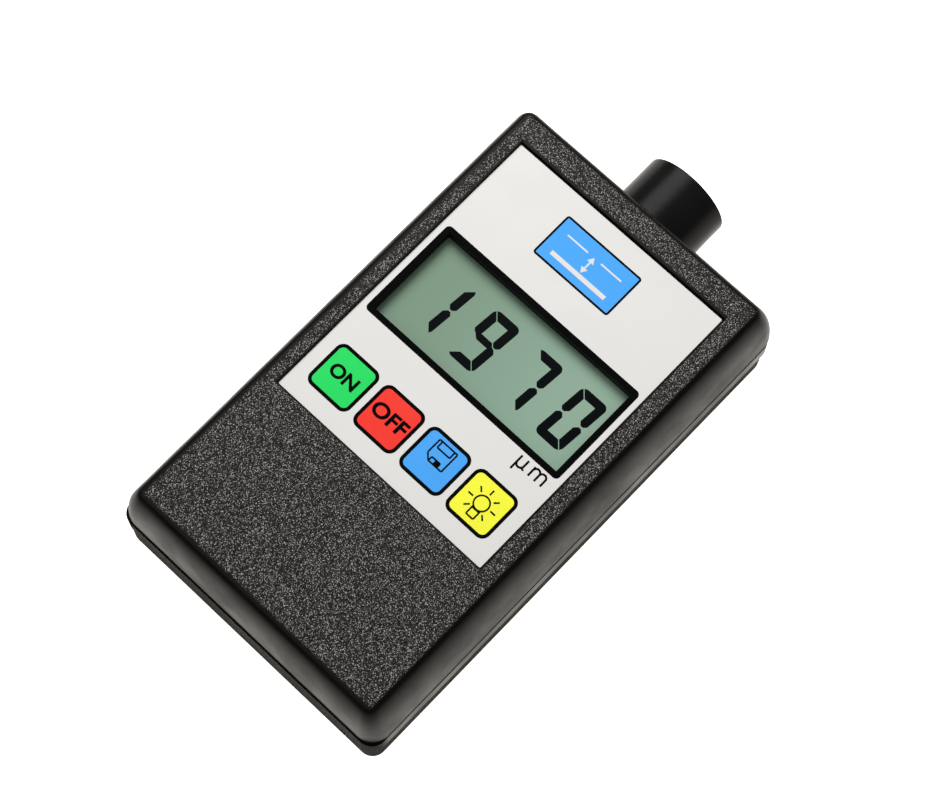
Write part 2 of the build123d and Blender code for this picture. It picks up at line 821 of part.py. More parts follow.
# Sensor core: a rod whose domed tip ends level with the sleeve's rim
with BuildPart() as sensor_core:
    with BuildSketch(Plane(origin=(probe_x, 0, probe_z), x_dir=(1, 0, 0), z_dir=(0, 0, 1))) as core_half:
        with BuildLine() as core_profile:
            Polyline(
                (0, nose_y),
                (0, core_back_y),
                (core_radius, core_back_y),
                (core_radius, nose_y - tip_rise),
            )
            tip_sphere = (core_radius**2 + tip_rise**2) / (2 * tip_rise)
            RadiusArc((core_radius, nose_y - tip_rise), (0, nose_y), -tip_sphere)
        make_face()
    revolve(axis=Axis((probe_x, 0, probe_z), (0, 1, 0)))
sensor_core.part.label = "sensor_core"
export_step(sensor_core.part, "parts/sensor_core.step")

with BuildPart() as coil_former:
    with BuildSketch(probe_plane(former_back_y)) as hub_outline:
        Circle(former_hub_radius)
    extrude(amount=former_front_y - former_back_y)
    for flange_y in (former_back_y, former_front_y - former_flange_thick):
        with BuildSketch(probe_plane(flange_y)) as flange_outline:
            Circle(former_flange_radius)
        extrude(amount=former_flange_thick)
    with BuildSketch(probe_plane(former_back_y)) as former_bore:
        Circle(core_radius + core_fit)
    extrude(amount=former_front_y - former_back_y, mode=Mode.SUBTRACT)
coil_former.part.label = "coil_former"
export_step(coil_former.part, "parts/coil_former.step")

winding_length = former_front_y - former_back_y - 2 * former_flange_thick
with BuildPart() as coil_winding:
    with BuildSketch(probe_plane(former_back_y + former_flange_thick)) as winding_outline:
        Circle(winding_radius)
        Circle(former_hub_radius, mode=Mode.SUBTRACT)
    extrude(amount=winding_length)
coil_winding.part.label = "coil_winding"
export_step(coil_winding.part, "parts/coil_winding.step")

with BuildPart() as probe_plug:
    with BuildSketch(probe_plane(sleeve_inner_y)) as plug_outline:
        Circle(sleeve_bore_radius)
        with Locations((0, probe_lead_drop)):
            with GridLocations(2 * probe_lead_spread, 1, 2, 1):
                Circle(probe_lead_radius + lead_hole_gap, mode=Mode.SUBTRACT)
    extrude(amount=plug_front_y - sleeve_inner_y)
probe_plug.part.label = "probe_plug"
export_step(probe_plug.part, "parts/probe_plug.step")

# Leads from the coil, straight back through the plug and up to the board
probe_lead_z = probe_z - probe_lead_drop
for lead_side, lead_name in ((-1, "probe_lead_left"), (1, "probe_lead_right")):
    lead_x = probe_x + lead_side * probe_lead_spread
    route_points = [
        (lead_x, former_back_y, probe_lead_z),
        (lead_x, probe_lead_end_y + probe_lead_bend, probe_lead_z),
        (lead_x, probe_lead_end_y, probe_lead_z + probe_lead_bend),
        (lead_x, probe_lead_end_y, board_bottom),
    ]
    probe_route = lead_route(route_points)
    with BuildPart() as probe_lead:
        with BuildSketch(Plane(origin=route_points[0], x_dir=(1, 0, 0), z_dir=(0, -1, 0))) as lead_section:
            Circle(probe_lead_radius)
        sweep(path=probe_route)
    probe_lead.part.label = lead_name
    export_step(probe_lead.part, f"parts/{lead_name}.step")

# Battery with its two snap terminals
terminal_plane = Plane(origin=(battery_high_x, battery_y, battery_z), x_dir=(0, 1, 0), z_dir=(1, 0, 0))
with BuildPart() as battery:
    with BuildSketch(terminal_plane.offset(-battery_length)) as battery_outline:
        RectangleRounded(battery_width, battery_thick, battery_edge_round)
    extrude(amount=battery_length)
    with BuildSketch(terminal_plane) as terminal_outline:
        with Locations((-terminal_spacing / 2, 0)):
            Circle(terminal_stud_radius)
        with Locations((terminal_spacing / 2, 0)):
            Circle(terminal_crown_radius)
            Circle(terminal_stud_radius + terminal_fit, mode=Mode.SUBTRACT)
    extrude(amount=terminal_length)
battery.part.label = "battery"
export_step(battery.part, "parts/battery.step")

with BuildPart() as snap_contacts:
    with BuildSketch(terminal_plane.offset(snap_gap)) as contact_outline:
        with Locations((-terminal_spacing / 2, 0)):
            Circle(terminal_crown_radius)
            Circle(terminal_stud_radius + terminal_fit, mode=Mode.SUBTRACT)
        with Locations((terminal_spacing / 2, 0)):
            Circle(terminal_stud_radius)
    extrude(amount=terminal_length)
snap_contacts.part.label = "snap_contacts"
export_step(snap_contacts.part, "parts/snap_contacts.step")

with BuildPart() as battery_snap:
    with BuildSketch(terminal_plane.offset(terminal_length + snap_gap)) as snap_outline:
        RectangleRounded(snap_length, snap_height, snap_corner)
    extrude(amount=snap_thick)
battery_snap.part.label = "battery_snap"
export_step(battery_snap.part, "parts/battery_snap.step")

# Leads from the snap connector, past the partition's end and up to the board
snap_exit_x = snap_low_x + snap_thick / 2
snap_exit_y = battery_y + snap_length / 2
battery_lead_routes = {
    "battery_lead_red": [(19.6, -22.6, 9.6), (14.9, -17.6, 7.0), (12.3, battery_lead_end_y, 9.6)],
    "battery_lead_black": [(19.4, -22.4, 7.4), (12.6, -18.2, 6.9), (10.3, battery_lead_end_y, 9.6)],
}
for lead_name, middle_points in battery_lead_routes.items():
    exit_z = middle_points[0][2]
    end_x = middle_points[-1][0]
    route_points = [
        (snap_exit_x, snap_exit_y, exit_z),
        (snap_exit_x, snap_exit_y + battery_lead_straight, exit_z),
        *middle_points,
        (end_x, battery_lead_end_y, board_bottom),
    ]
    battery_route = lead_route(route_points)
    with BuildPart() as battery_lead:
        with BuildSketch(Plane(origin=route_points[0], x_dir=(1, 0, 0), z_dir=(0, 1, 0))) as lead_section:
            Circle(battery_lead_radius)
        sweep(path=battery_route)
    battery_lead.part.label = lead_name
    export_step(battery_lead.part, f"parts/{lead_name}.step")
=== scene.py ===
"""Looks of a handheld coating thickness gauge, laid over its CAD frame.

Lengths are in millimetres until a mesh is made, and every piece stands where the frame says.
"""

import json
import logging
import math
from collections.abc import Callable, Sequence
from dataclasses import dataclass, field
from enum import Enum

import bmesh
import bpy
from mathutils import Matrix, Vector


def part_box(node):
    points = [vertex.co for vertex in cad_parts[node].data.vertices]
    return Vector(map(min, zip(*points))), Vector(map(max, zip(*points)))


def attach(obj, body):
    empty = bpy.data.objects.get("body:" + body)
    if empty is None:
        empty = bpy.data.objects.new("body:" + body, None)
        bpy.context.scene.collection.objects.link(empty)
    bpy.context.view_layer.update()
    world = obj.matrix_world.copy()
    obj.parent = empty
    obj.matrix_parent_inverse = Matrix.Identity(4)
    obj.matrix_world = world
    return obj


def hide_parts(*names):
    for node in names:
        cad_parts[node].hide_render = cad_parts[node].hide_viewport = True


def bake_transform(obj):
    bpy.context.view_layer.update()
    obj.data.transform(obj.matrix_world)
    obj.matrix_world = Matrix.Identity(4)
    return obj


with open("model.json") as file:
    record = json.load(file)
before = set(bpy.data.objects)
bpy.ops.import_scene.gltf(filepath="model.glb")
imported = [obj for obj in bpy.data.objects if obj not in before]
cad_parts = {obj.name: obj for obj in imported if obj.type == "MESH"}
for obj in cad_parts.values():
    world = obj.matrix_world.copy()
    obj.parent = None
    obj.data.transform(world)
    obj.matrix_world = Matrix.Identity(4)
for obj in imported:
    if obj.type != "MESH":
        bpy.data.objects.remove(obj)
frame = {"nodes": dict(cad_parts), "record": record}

LOG = logging.getLogger("coating_gauge")
MM = 0.001
CORNER_STEPS = 12
# Ends of the span that a noise's values really fill, and how much of a blend the fine noise takes.
NOISE_SPAN = (0.3, 0.7)
FINE_SHARE = 0.4
# Distances, in metres, under which points of a print and of a CAD copy are one, and the angle, in degrees, under
# which a CAD copy's triangles lie in one plane.
PRINT_WELD = 1e-7
CAD_WELD = 2e-6
FLAT_ANGLE = 0.3

Point = tuple[float, float]
Ring = list[Vector]
Piece = bpy.types.Object
Socket = bpy.types.NodeSocket


class Body(str, Enum):
    """Bodies that pieces ride on."""

    CASE = "case"
    DOOR = "door"


class Key(Enum):
    """The four membrane keys, by their column from the left."""

    ON = 0
    OFF = 1
    CALIBRATE = 2
    LIGHT = 3

    @property
    def body(self) -> str:
        """Body that the key's plunger moves."""
        return f"{self.name.lower()}_key"


# Meshes


def linked(name: str, data: bpy.types.ID) -> Piece:
    """New object over its data, linked to the scene."""
    made = bpy.data.objects.new(name, data)
    bpy.context.scene.collection.objects.link(made)
    return made


def box_mm(node: str) -> tuple[Vector, Vector]:
    """Lowest and highest corner of a CAD node.

    Args:
        node: the node's name.

    Returns:
        Both corners, in millimetres.
    """
    low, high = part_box(node)
    return low / MM, high / MM


def rounded_outline(
    centre: Point, half: Point, radius: float, steps: int = CORNER_STEPS
) -> list[Point]:
    """Rounded rectangle, anticlockwise from its right side.

    Args:
        centre: its middle.
        half: half its width and half its height.
        radius: corner radius.
        steps: straight steps in each corner.

    Returns:
        The outline's points, the same number for any size.
    """
    points = []
    for turn, (side_x, side_y) in enumerate(((1, 1), (-1, 1), (-1, -1), (1, -1))):
        corner_x = centre[0] + side_x * (half[0] - radius)
        corner_y = centre[1] + side_y * (half[1] - radius)
        for step in range(steps + 1):
            angle = math.pi / 2 * (turn + step / steps)
            points.append((corner_x + radius * math.cos(angle), corner_y + radius * math.sin(angle)))
    return points


def arc(centre: Point, radius: float, start: float, end: float, steps: int) -> list[Point]:
    """Points of an arc between two angles in degrees."""
    turn = [math.radians(start + (end - start) * step / steps) for step in range(steps + 1)]
    return [(centre[0] + radius * math.cos(a), centre[1] + radius * math.sin(a)) for a in turn]


def circle(centre: Point, radius: float, steps: int = 48) -> list[Point]:
    """Points of a full circle."""
    return arc(centre, radius, 0, 360, steps)[:-1]


def flat_ring(outline: Sequence[Point], height: float) -> Ring:
    """Outline lifted to one height."""
    return [Vector((x, y, height)) for x, y in outline]


def mesh_object(name: str, build: Callable[[bmesh.types.BMesh], None], merge: float = 1e-4) -> Piece:
    """Mesh object from a bmesh that is filled in millimetres.

    Args:
        name: the piece's name.
        build: function that fills the bmesh.
        merge: distance under which its points are joined.

    Returns:
        The object, with outward normals and its place in its mesh.
    """
    work = bmesh.new()
    build(work)
    bmesh.ops.remove_doubles(work, verts=work.verts, dist=merge)
    bmesh.ops.recalc_face_normals(work, faces=work.faces)
    work.transform(Matrix.Scale(MM, 4))
    mesh = bpy.data.meshes.new(name)
    work.to_mesh(mesh)
    work.free()
    return linked(name, mesh)


def add_rings(work: bmesh.types.BMesh, rings: Sequence[Ring], looped: bool = False, caps: bool = False) -> None:
    """Skins a row of rings that all have the same number of points.

    Args:
        work: the bmesh that gets the faces.
        rings: the rings, in order.
        looped: whether the last ring is joined to the first.
        caps: whether both ends are closed.
    """
    rows = [[work.verts.new(point) for point in ring] for ring in rings]
    pairs = list(zip(rows, rows[1:]))
    if looped:
        pairs.append((rows[-1], rows[0]))
    for near, far in pairs:
        for index in range(len(near)):
            after = (index + 1) % len(near)
            work.faces.new((near[index], near[after], far[after], far[index]))
    if caps:
        work.faces.new(rows[0])
        work.faces.new(rows[-1])


def skinned(name: str, rings: Sequence[Ring], looped: bool = False, caps: bool = False) -> Piece:
    """Mesh object skinned over rings; see add_rings."""
    return mesh_object(name, lambda work: add_rings(work, rings, looped, caps))


def turned_rings(profile: Sequence[Point], centre: tuple[float, float], segments: int) -> list[Ring]:
    """Rings of a turned form round an axis that runs along Y.

    Args:
        profile: radius and place along Y of each ring.
        centre: the axis's X and Z.
        segments: points in each ring.

    Returns:
        The rings, in the profile's order.
    """
    return [[Vector((x, along, z)) for x, z in circle(centre, radius, segments)] for radius, along in profile]


def flat_solid(name: str, outlines: Sequence[Sequence[Point]], low: float, high: float) -> Piece:
    """Flat plate between two heights, with each inner outline cut out of the one around it.

    Args:
        name: the piece's name.
        outlines: closed outlines.
        low: height of the underside.
        high: height of the top.

    Returns:
        The plate as a mesh object.
    """
    curve = bpy.data.curves.new(name, "CURVE")
    curve.dimensions = "2D"
    curve.fill_mode = "BOTH"
    curve.extrude = (high - low) / 2
    for outline in outlines:
        spline = curve.splines.new("POLY")
        spline.points.add(len(outline) - 1)
        for place, (x, y) in zip(spline.points, outline):
            place.co = (x, y, 0, 1)
        spline.use_cyclic_u = True
    return meshed_curve(curve, Matrix.Translation((0, 0, (high + low) / 2)))


def meshed_curve(curve: bpy.types.Curve, place: Matrix) -> Piece:
    """Turns a curve or text into a mesh object, then puts it in its place.

    Args:
        curve: the curve data, in millimetres, which is used up.
        place: where it goes, in millimetres.

    Returns:
        The mesh object, named as the curve is.
    """
    name = curve.name
    maker = linked(f"{name}_maker", curve)
    graph = bpy.context.evaluated_depsgraph_get()
    mesh = bpy.data.meshes.new_from_object(maker.evaluated_get(graph))
    bpy.data.objects.remove(maker)
    bpy.data.curves.remove(curve)
    mesh.transform(Matrix.Scale(MM, 4) @ place)
    mesh.name = name
    piece = linked(name, mesh)
    work = bmesh.new()
    work.from_mesh(mesh)
    bmesh.ops.remove_doubles(work, verts=work.verts, dist=PRINT_WELD)
    bmesh.ops.recalc_face_normals(work, faces=work.faces)
    work.to_mesh(mesh)
    work.free()
    return piece


def lettering(name: str, words: str, centre: Point, height: float, low: float, high: float,
              weight: float = 0.0, spread: float = 1.0) -> Piece:
    """Raised print of a word.

    Args:
        name: the piece's name.
        words: what it says.
        centre: the middle of the word.
        height: size of the letters.
        low: height of the print's underside.
        high: height of its top.
        weight: how much bolder than the plain letter.
        spread: width of the letters against their height.

    Returns:
        The word as a mesh object.
    """
    text = bpy.data.curves.new(name, "FONT")
    text.body = words
    text.size = height
    text.offset = weight
    text.extrude = (high - low) / 2
    text.align_x = "CENTER"
    text.align_y = "CENTER"
    text.resolution_u = 6
    place = Matrix.Translation((centre[0], centre[1], (high + low) / 2))
    return meshed_curve(text, place @ Matrix.Diagonal((spread, 1, 1, 1)))


def stroke(start: Point, end: Point, width: float) -> list[Point]:
    """Outline of a straight line that is drawn with some width."""
    along = (Vector(end) - Vector(start)).normalized() * width / 2
    aside = Vector((-along.y, along.x))
    first, last = Vector(start), Vector(end)
    return [tuple(first + aside), tuple(first - aside), tuple(last - aside), tuple(last + aside)]


def joined(name: str, parts: Sequence[Piece]) -> Piece:
    """Joins mesh objects into one piece.

    Args:
        name: the new piece's name.
        parts: objects that become one.

    Returns:
        The joined object.
    """
    work = bmesh.new()
    for part in parts:
        work.from_mesh(part.data)
        bpy.data.objects.remove(part)
    mesh = bpy.data.meshes.new(name)
    work.to_mesh(mesh)
    work.free()
    return linked(name, mesh)


def upright(piece: Piece) -> Piece:
    """Turns a flat solid so that its outline stands in X and Z, and its heights run along -Y."""
    piece.data.transform(Matrix.Rotation(math.pi / 2, 4, "X"))
    return piece


def cut_out(piece: Piece, cutters: Sequence[Piece]) -> None:
    """Cuts closed solids out of a piece, and uses them up."""
    for cutter in cutters:
        cut = piece.modifiers.new(cutter.name, "BOOLEAN")
        cut.operation, cut.solver, cut.object = "DIFFERENCE", "EXACT", cutter
    graph = bpy.context.evaluated_depsgraph_get()
    plain = piece.data
    piece.data = bpy.data.meshes.new_from_object(piece.evaluated_get(graph))
    piece.modifiers.clear()
    bpy.data.meshes.remove(plain)
    piece.data.name = piece.name
    for cutter in cutters:
        bpy.data.meshes.remove(cutter.data)


def soften(piece: Piece, angle: float = 32.0) -> None:
    """Shades a piece smooth up to an angle, with flat faces kept flat.

    Args:
        piece: the mesh object.
        angle: the sharpest edge, in degrees, that still looks rounded.
    """
    work = bmesh.new()
    work.from_mesh(piece.data)
    for edge in work.edges:
        edge.smooth = len(edge.link_faces) == 2 and edge.calc_face_angle(math.pi) < math.radians(angle)
    for face in work.faces:
        face.smooth = True
    work.to_mesh(piece.data)
    work.free()
    weighted = piece.modifiers.new("even_shading", "WEIGHTED_NORMAL")
    weighted.keep_sharp = True
    weighted.weight = 100


def smooth_copy(node: str, name: str) -> Piece:
    """Copy of a CAD node with its loose triangles joined.

    Args:
        node: the CAD node.
        name: the copy's name.

    Returns:
        The copy, softly shaded.
    """
    work = bmesh.new()
    work.from_mesh(frame["nodes"][node].data)
    bmesh.ops.remove_doubles(work, verts=work.verts, dist=CAD_WELD)
    bmesh.ops.dissolve_limit(
        work, angle_limit=math.radians(FLAT_ANGLE), verts=work.verts, edges=work.edges, delimit={"NORMAL"}
    )
    bmesh.ops.triangulate(work, faces=[face for face in work.faces if len(face.verts) > 4])
    mesh = bpy.data.meshes.new(name)
    work.to_mesh(mesh)
    work.free()
    piece = linked(name, mesh)
    soften(piece)
    return piece


# Finishes


class Graph:
    """Short-hand for wiring one node tree."""

    def __init__(self, tree: bpy.types.NodeTree) -> None:
        """Starts on a tree that may already hold nodes."""
        self.tree = tree

    def add(self, kind: str, inputs: dict[str | int, object] | None = None, **settings: object) -> bpy.types.Node:
        """Adds one node.

        Args:
            kind: the node's type name.
            inputs: socket name or number to a value or to another node's output.
            **settings: attributes set before the inputs.

        Returns:
            The node.
        """
        node = self.tree.nodes.new(kind)
        for key, value in settings.items():
            setattr(node, key, value)
        return self.put(node, inputs or {})

    def put(self, node: bpy.types.Node, inputs: dict[str | int, object]) -> bpy.types.Node:
        """Gives a node's inputs their values, or links other nodes' outputs to them.

        Args:
            node: the node.
            inputs: socket name or number to a value or to another node's output.

        Returns:
            The node.
        """
        for key, value in inputs.items():
            if isinstance(value, Socket):
                self.tree.links.new(value, node.inputs[key])
            else:
                node.inputs[key].default_value = value
        return node

    def math(self, operation: str, *values: object) -> Socket:
        """Output of one Math node over sockets or numbers."""
        return self.add("ShaderNodeMath", dict(enumerate(values)), operation=operation).outputs[0]

    def times(self, value: object, factor: object) -> Socket:
        """Product of two sockets or numbers."""
        return self.math("MULTIPLY", value, factor)

    def plus(self, value: object, more: object) -> Socket:
        """Sum of two sockets or numbers."""
        return self.math("ADD", value, more)

    def minus(self, value: object, less: object) -> Socket:
        """Difference of two sockets or numbers."""
        return self.math("SUBTRACT", value, less)

    def fade(self, value: object, low: float, high: float, start: float = 0.0, end: float = 1.0) -> Socket:
        """Smooth change from start to end as value goes from low to high."""
        inputs = {0: value, 1: low, 2: high, 3: start, 4: end}
        return self.add("ShaderNodeMapRange", inputs, interpolation_type="SMOOTHSTEP").outputs[0]

    def noise(self, place: Socket, size: float, detail: float = 2.0) -> Socket:
        """Noise whose features are about size millimetres across."""
        inputs = {"Vector": place, "Scale": 1 / (size * MM), "Detail": detail, "Roughness": 0.55}
        return self.add("ShaderNodeTexNoise", inputs).outputs[0]

    def tint(self, share: Socket, low: Sequence[float], high: Sequence[float]) -> Socket:
        """Colour between two colours, through the colour sockets of a Mix node."""
        inputs = {0: share, 6: (*low, 1.0), 7: (*high, 1.0)}
        return self.add("ShaderNodeMix", inputs, data_type="RGBA").outputs[2]


@dataclass(frozen=True)
class Finish:
    """Surface with a little wander in its colour and gloss, and a fine grain."""

    slot: str
    colour: tuple[float, float, float]
    wear: str = "plain"
    roughness: float = 0.5
    metallic: float = 0.0
    wander: float = 0.10
    wander_size: float = 7.0
    gloss_spread: float = 0.06
    grain_size: float = 0.22
    grain_height: float = 0.003
    specular: float = 0.5
    sheen_tint: tuple[float, float, float] = (1.0, 1.0, 1.0)
    coat: float = 0.0
    coat_roughness: float = 0.1

    def material(self) -> bpy.types.Material:
        """The finish's material, made once."""
        name = f"{self.slot}_{self.wear}"
        if name in bpy.data.materials:
            return bpy.data.materials[name]
        made = bpy.data.materials.new(name)
        made.use_nodes = True
        graph = Graph(made.node_tree)
        shader = made.node_tree.nodes["Principled BSDF"]
        graph.put(shader, {
            "Metallic": self.metallic, "Specular IOR Level": self.specular,
            "Specular Tint": (*self.sheen_tint, 1.0), "Coat Weight": self.coat,
            "Coat Roughness": self.coat_roughness,
        })
        place = graph.add("ShaderNodeTexCoord").outputs["Object"]
        self.wire(graph, shader, place)
        return made

    def wire(self, graph: Graph, shader: bpy.types.Node, place: Socket) -> None:
        """Links colour, roughness and bump.

        Args:
            graph: the material's tree.
            shader: its Principled shader.
            place: object coordinates, in metres.
        """
        broad = graph.noise(place, self.wander_size, detail=3.0)
        fine = graph.noise(place, self.grain_size)
        blend = graph.math("MULTIPLY_ADD", fine, FINE_SHARE, graph.times(broad, 1 - FINE_SHARE))
        graph.put(shader, {"Base Color": self.hue(graph, place, graph.fade(blend, *NOISE_SPAN)),
                           "Roughness": self.gloss(graph, broad)})
        self.bump(graph, shader, fine, self.grain_height)

    def hue(self, graph: Graph, place: Socket, blend: Socket) -> Socket:
        """Base colour from object coordinates and a wander between 0 and 1."""
        low = [max(0.0, channel * (1 - self.wander)) for channel in self.colour]
        high = [min(1.0, channel * (1 + self.wander)) for channel in self.colour]
        return graph.tint(blend, low, high)

    def gloss(self, graph: Graph, broad: Socket) -> Socket:
        """Roughness that wanders with a broad noise."""
        low, high = self.roughness - self.gloss_spread, self.roughness + self.gloss_spread
        return graph.fade(broad, *NOISE_SPAN, low, high)

    def bump(self, graph: Graph, shader: bpy.types.Node, height: Socket, depth: float) -> None:
        """Links a height, in shares of depth millimetres, to the shader's normal."""
        node = graph.add("ShaderNodeBump", {"Height": height, "Distance": depth * MM, "Strength": 1.0})
        graph.put(shader, {"Normal": node.outputs[0]})


@dataclass(frozen=True)
class GrainedFinish(Finish):
    """Moulded case: satin where the mould was polished, fine grain where it was eroded.

    Each pebble's tip is painted lighter in the base colour, as a painted glint, and each pebble's glint has its own
    strength.
    """

    pebble_size: float = 0.16
    pebble_height: float = 0.04
    peak_low: float = 0.70
    peak_high: float = 0.22
    # Strength of the painted glint on the dullest pebbles, and the span of each cell's random value over which it
    # rises to full.
    dull_share: float = 0.05
    dull_span: Point = (0.52, 0.98)
    # Base colour of the painted glints on the pebbles' tips.
    painted_glint_colour: tuple[float, float, float] = (0.86, 0.835, 0.80)
    grained_roughness: float = 0.34

    def share(self, graph: Graph, axes: bpy.types.NodeOutputs) -> Socket:
        """How grained the surface is at a place, from 0 to 1.

        Args:
            graph: the material's tree.
            axes: the place's X, Y and Z, in metres.

        Returns:
            The share as a socket.
        """
        raise NotImplementedError

    def wire(self, graph: Graph, shader: bpy.types.Node, place: Socket) -> None:
        """Links satin and grain by their share; see Finish.wire."""
        share = self.share(graph, graph.add("ShaderNodeSeparateXYZ", {0: place}).outputs)
        cells = graph.add("ShaderNodeTexVoronoi", {"Vector": place, "Scale": 1 / (self.pebble_size * MM)})
        pebbles = graph.fade(cells.outputs["Distance"], self.peak_low, self.peak_high)
        skin = graph.noise(place, self.grain_size)
        broad = graph.noise(place, self.wander_size, detail=3.0)
        # Painted glints: pebble tips get a lighter base colour, each pebble with its own random strength, in place of
        # light glinting on them.
        glint_strength = graph.fade(cells.outputs["Color"], *self.dull_span, self.dull_share, 1.0)
        painted_glints = graph.times(graph.times(pebbles, glint_strength), share)
        low = [channel * (1 - self.wander) for channel in self.colour]
        graph.put(shader, {"Base Color": graph.tint(painted_glints, low, self.painted_glint_colour)})
        more = self.grained_roughness - self.roughness
        shine = graph.math("MULTIPLY_ADD", share, more, self.gloss(graph, broad))
        graph.put(shader, {"Roughness": shine})
        coarse = graph.times(graph.times(pebbles, share), self.pebble_height)
        height = graph.math("MULTIPLY_ADD", skin, self.grain_height, coarse)
        self.bump(graph, shader, height, 1.0)


@dataclass(frozen=True)
class FaceFinish(GrainedFinish):
    """Front shell: the grain fills the face between its rolled edge and a smooth band round the recess, which is the
    recess's polished lip and, wider on the nose and left sides, a painted shadow of the lip.
    """

    field_centre: Point = (0.45, -4.65)
    field_half: Point = (28.05, 50.15)
    field_floor: float = 24.9
    field_fade: float = 0.35
    # Band round the recess kept free of grain and its painted glints, so it is darker: the recess's smooth lip, and a
    # painted shadow of the lip where the band is wider on the nose and left sides.
    lip_and_shadow_centre: Point = (0.02, 8.60)
    lip_and_shadow_half: Point = (25.50, 32.60)
    sharp_fade: float = 0.1

    def share(self, graph: Graph, axes: bpy.types.NodeOutputs) -> Socket:
        """Grain on top, inside the field; see GrainedFinish.share."""
        share = graph.fade(axes[2], (self.field_floor - self.sharp_fade) * MM, self.field_floor * MM)
        for axis, middle, half in zip(axes, self.field_centre, self.field_half):
            away = graph.math("ABSOLUTE", graph.minus(axis, middle * MM))
            edge = graph.fade(away, (half - self.field_fade) * MM, (half + self.field_fade) * MM, 1.0, 0.0)
            share = graph.times(share, edge)
        # No grain inside the lip band, which leaves the painted shadow along the lip.
        beyond = 0.0
        for axis, middle, half in zip(axes, self.lip_and_shadow_centre, self.lip_and_shadow_half):
            away = graph.math("ABSOLUTE", graph.minus(axis, middle * MM))
            outside = graph.fade(away, half * MM, (half + self.sharp_fade) * MM)
            beyond = graph.math("MAXIMUM", outside, beyond)
        return graph.times(share, beyond)


@dataclass(frozen=True)
class TrayFinish(GrainedFinish):
    """Rear shell: grained tray and tail, and a satin band along both sides of the rim."""

    band_low: float = 7.6
    tail_y: float = -56.0
    band_fade: float = 0.1
    tail_fade: float = 1.5

    def share(self, graph: Graph, axes: bpy.types.NodeOutputs) -> Socket:
        """Grain under the band and on the tail; see GrainedFinish.share."""
        ends = ((axes[2], self.band_low, self.band_fade), (axes[1], self.tail_y, self.tail_fade))
        tray, tail = (
            graph.fade(axis, (place - width) * MM, (place + width) * MM, 1.0, 0.0) for axis, place, width in ends
        )
        return graph.math("MAXIMUM", tray, tail)


@dataclass(frozen=True)
class CellFinish(Finish):
    """Display cell whose colour is painted lighter towards its right end, as painted light and shade across the cell.
    """

    painted_lit_colour: tuple[float, float, float] = (0.285, 0.424, 0.326)
    half_span: float = 20.0

    def hue(self, graph: Graph, place: Socket, blend: Socket) -> Socket:
        """Base colour, painted lighter from left to right; see Finish.hue."""
        across = graph.add("ShaderNodeSeparateXYZ", {0: place}).outputs[0]
        # Painted light: the colour brightens from the left end to the right end.
        share = graph.fade(across, -self.half_span * MM, self.half_span * MM)
        return graph.tint(graph.math("MULTIPLY_ADD", blend, self.wander, share), self.colour, self.painted_lit_colour)


@dataclass(frozen=True)
class LinedFinish(Finish):
    """Finish with fine lines round an axis along Y, as turning or winding leaves."""

    line_pitch: float = 0.25
    line_height: float = 0.004
    wobble_size: float = 3.0
    wobble_share: float = 0.5

    def wire(self, graph: Graph, shader: bpy.types.Node, place: Socket) -> None:
        """Links the plain finish, then the lines' bump; see Finish.wire."""
        super().wire(graph, shader, place)
        along = graph.add("ShaderNodeSeparateXYZ", {0: place}).outputs[1]
        wobble = graph.times(graph.noise(place, self.wobble_size), self.line_pitch * self.wobble_share * MM)
        phase = graph.times(graph.plus(along, wobble), 2 * math.pi / (self.line_pitch * MM))
        self.bump(graph, shader, graph.math("SINE", phase), self.line_height)


@dataclass(frozen=True)
class BoardFinish(Finish):
    """Solder mask over copper: straight tracks show through as a lighter green, with round vias."""

    track_pitch: float = 1.27
    track_width: float = 0.32
    track_colour: tuple[float, float, float] = (0.030, 0.24, 0.085)
    track_fade: float = 0.02
    patch_size: float = 16.0
    patch_edge: Point = (0.50, 0.51)
    via_pitch: float = 4.2
    via_edge: Point = (0.13, 0.15)
    copper_rise: float = 0.03

    def wire(self, graph: Graph, shader: bpy.types.Node, place: Socket) -> None:
        """Links the mask, then the tracks in its colour; see Finish.wire."""
        super().wire(graph, shader, place)
        axes = graph.add("ShaderNodeSeparateXYZ", {0: place}).outputs
        patch = graph.fade(graph.noise(place, self.patch_size, detail=0.0), *self.patch_edge)
        phases = []
        for axis in (axes[0], axes[1]):
            share = graph.math("FRACT", graph.math("DIVIDE", axis, self.track_pitch * MM))
            away = graph.math("ABSOLUTE", graph.minus(share, 0.5))
            half = self.track_width / self.track_pitch / 2
            phases.append(graph.fade(away, half - self.track_fade, half + self.track_fade, 1.0, 0.0))
        across = graph.times(phases[0], patch)
        along = graph.times(phases[1], graph.minus(1.0, patch))
        spots = graph.add("ShaderNodeTexVoronoi", {"Vector": place, "Scale": 1 / (self.via_pitch * MM)})
        vias = graph.fade(spots.outputs["Distance"], *self.via_edge, 1.0, 0.0)
        copper = graph.math("MAXIMUM", graph.math("MAXIMUM", across, along), vias)
        graph.put(shader, {"Base Color": graph.tint(copper, self.colour, self.track_colour)})
        self.bump(graph, shader, copper, self.copper_rise)


def ink(slot: str, colour: tuple[float, float, float]) -> Finish:
    """Coloured print on the film."""
    return Finish(slot, colour, roughness=0.5, wander=0.02, grain_size=0.16, specular=0.15)


